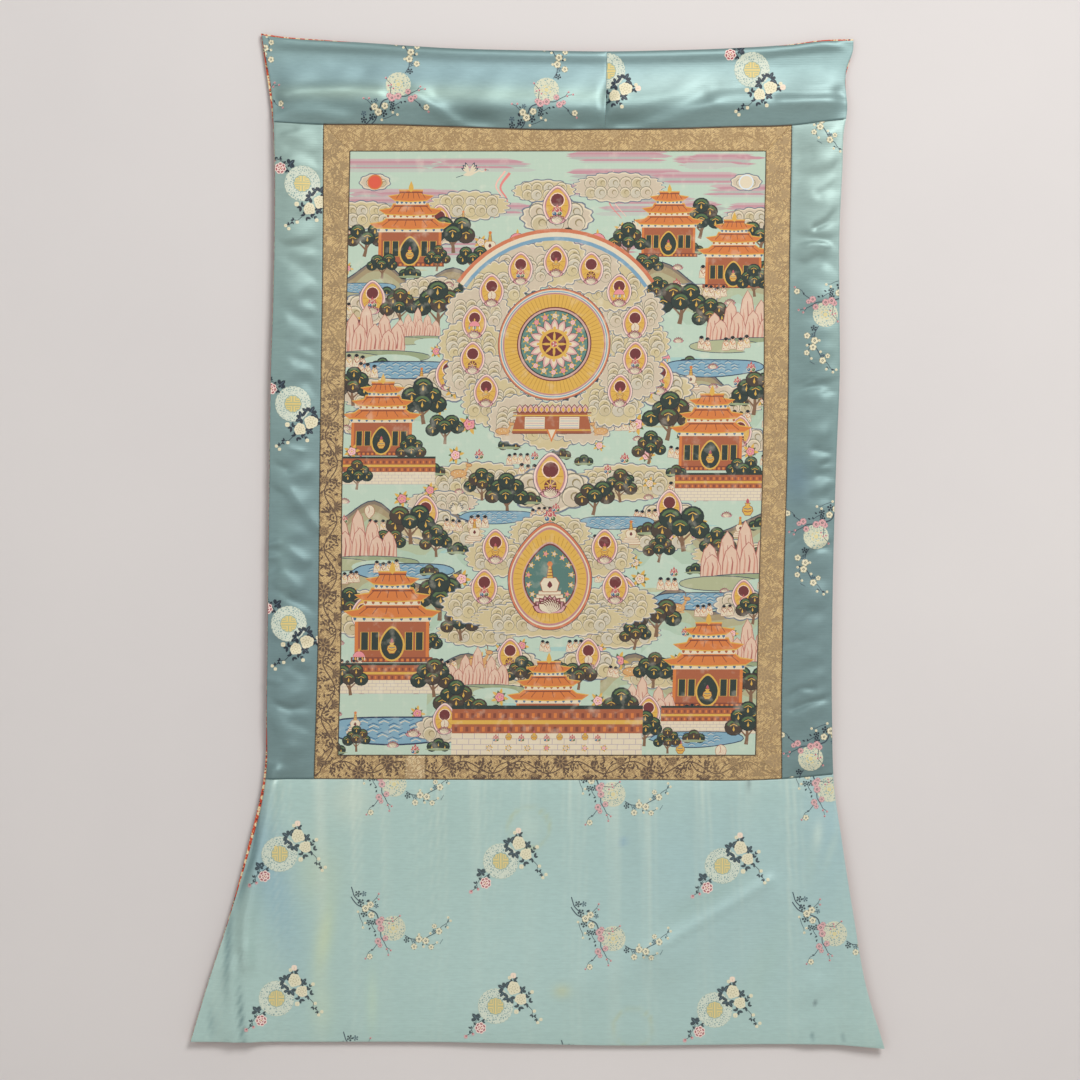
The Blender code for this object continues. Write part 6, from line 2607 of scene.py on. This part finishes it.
def worn_gilt(colours: Array, places: Array) -> Array:
    """Fades the scroll toward the ground, above and at the frame's right."""
    worn = np.clip((places[:, 1] + 430) / 120, 0, 1) * 0.5
    worn = np.maximum(worn, np.clip((places[:, 0] - 150) / 70, 0, 1) * 0.45)[:, None]
    return colours * (1 - worn) + np.array(linear("#bfa271")) * worn


def worn_and_shaded_floats(colours: Array, places: Array) -> Array:
    """Takes the skirt's flowers a tenth of the way to the satin's tone under them, with its fades
    and the painted shade of its folds.
    """
    ground = SKIRT_TONE_AND_PAINTED_SHADE(places[:, 0], places[:, 1])
    return colours * 0.9 + ground * 0.1


# ---------------------------------------------------------------- studio


@dataclass(frozen=True)
class Limewash:
    """A limewashed plaster wall: matt, pale, faintly clouded, and clear from behind."""

    name: str
    colour: str = "#d8d3cf"
    shade: str = "#ccc7c5"

    def material(self) -> bpy.types.Material:
        """The wall's material."""
        made, shader, add, place = new_material(self.name)
        cloud = add("TexNoise", {"Vector": place, "Scale": 2.2, "Detail": 5.0})
        inks = {6: linear(self.colour), 7: linear(self.shade)}
        colour = add("Mix", {0: cloud, **inks}, **MIX).outputs[2]
        plug(shader, {"Base Color": colour, "Roughness": 0.95})
        behind = add("NewGeometry").outputs["Backfacing"]
        shown = add("MixShader", {0: behind, 1: shader, 2: add("BsdfTransparent")})
        plug(made.node_tree.nodes["Material Output"], {"Surface": shown})
        return made


@dataclass
class Studio:
    """The pale wall and floor, the soft lights and the camera at the photograph's angle."""

    frame_side: float = 1.188
    middle: Point = (-0.0187, -0.5376)
    distance: float = 3.3
    lens: float = 100.0

    def build(self) -> None:
        """Makes the studio."""
        self.wall()
        self.lights()
        self.camera()

    def wall(self) -> None:
        """A pale wall that shows from the front alone, and a pale floor."""
        for name, size, place, turned in (("wall", (3.6, 3.2), (0, 0.004, -0.1), 90),
                ("floor", (5.0, 5.0), (0, -1.2, -1.45), 0)):
            bm = bmesh.new()
            bmesh.ops.create_grid(bm, x_segments=1, y_segments=1, size=0.5)
            bmesh.ops.scale(bm, verts=bm.verts, vec=(*size, 1))
            turn = Matrix.Rotation(math.radians(turned), 3, "X")
            bmesh.ops.rotate(bm, verts=bm.verts, cent=(0, 0, 0), matrix=turn)
            bmesh.ops.translate(bm, verts=bm.verts, vec=place)
            mesh = bpy.data.meshes.new(name)
            bm.to_mesh(mesh)
            bm.free()
            mesh.materials.append(Limewash(name).material())
            piece = bpy.data.objects.new(name, mesh)
            bpy.context.scene.collection.objects.link(piece)

    def lights(self) -> None:
        """A large soft key from the upper right, and a weaker fill from the left."""
        for name, place, side, power in (("key", (1.15, -2.6, 1.35), 1.3, 82.0),
                ("fill", (-1.7, -2.8, -0.2), 2.0, 15.0)):
            lamp = bpy.data.lights.new(name, "AREA")
            lamp.energy = power
            lamp.size = side
            light = bpy.data.objects.new(name, lamp)
            light.location = place
            aim = Vector((0, 0, -0.5)) - Vector(place)
            light.rotation_euler = aim.to_track_quat("-Z", "Y").to_euler()
            bpy.context.scene.collection.objects.link(light)
        world = bpy.data.worlds.new("studio")
        world.use_nodes = True
        world.node_tree.nodes["Background"].inputs["Color"].default_value = linear("#f3f4f6")
        world.node_tree.nodes["Background"].inputs["Strength"].default_value = 0.4
        bpy.context.scene.world = world
        bpy.context.scene.view_settings.view_transform = "Standard"

    def camera(self) -> None:
        """The camera, straight in front of the middle of the photograph's frame."""
        data = bpy.data.cameras.new("camera")
        data.sensor_width = self.lens * self.frame_side / self.distance
        data.lens = self.lens
        camera = bpy.data.objects.new("camera", data)
        camera.location = (self.middle[0], -self.distance, self.middle[1])
        camera.rotation_euler = (math.radians(90), 0, 0)
        bpy.context.scene.collection.objects.link(camera)
        bpy.context.scene.camera = camera


def main() -> None:
    """Builds the cloth, its decoration and the studio."""
    logging.basicConfig(level=logging.INFO, format="%(message)s")
    Mount().build()
    Studio().build()


if __name__ == "__main__":
    main()
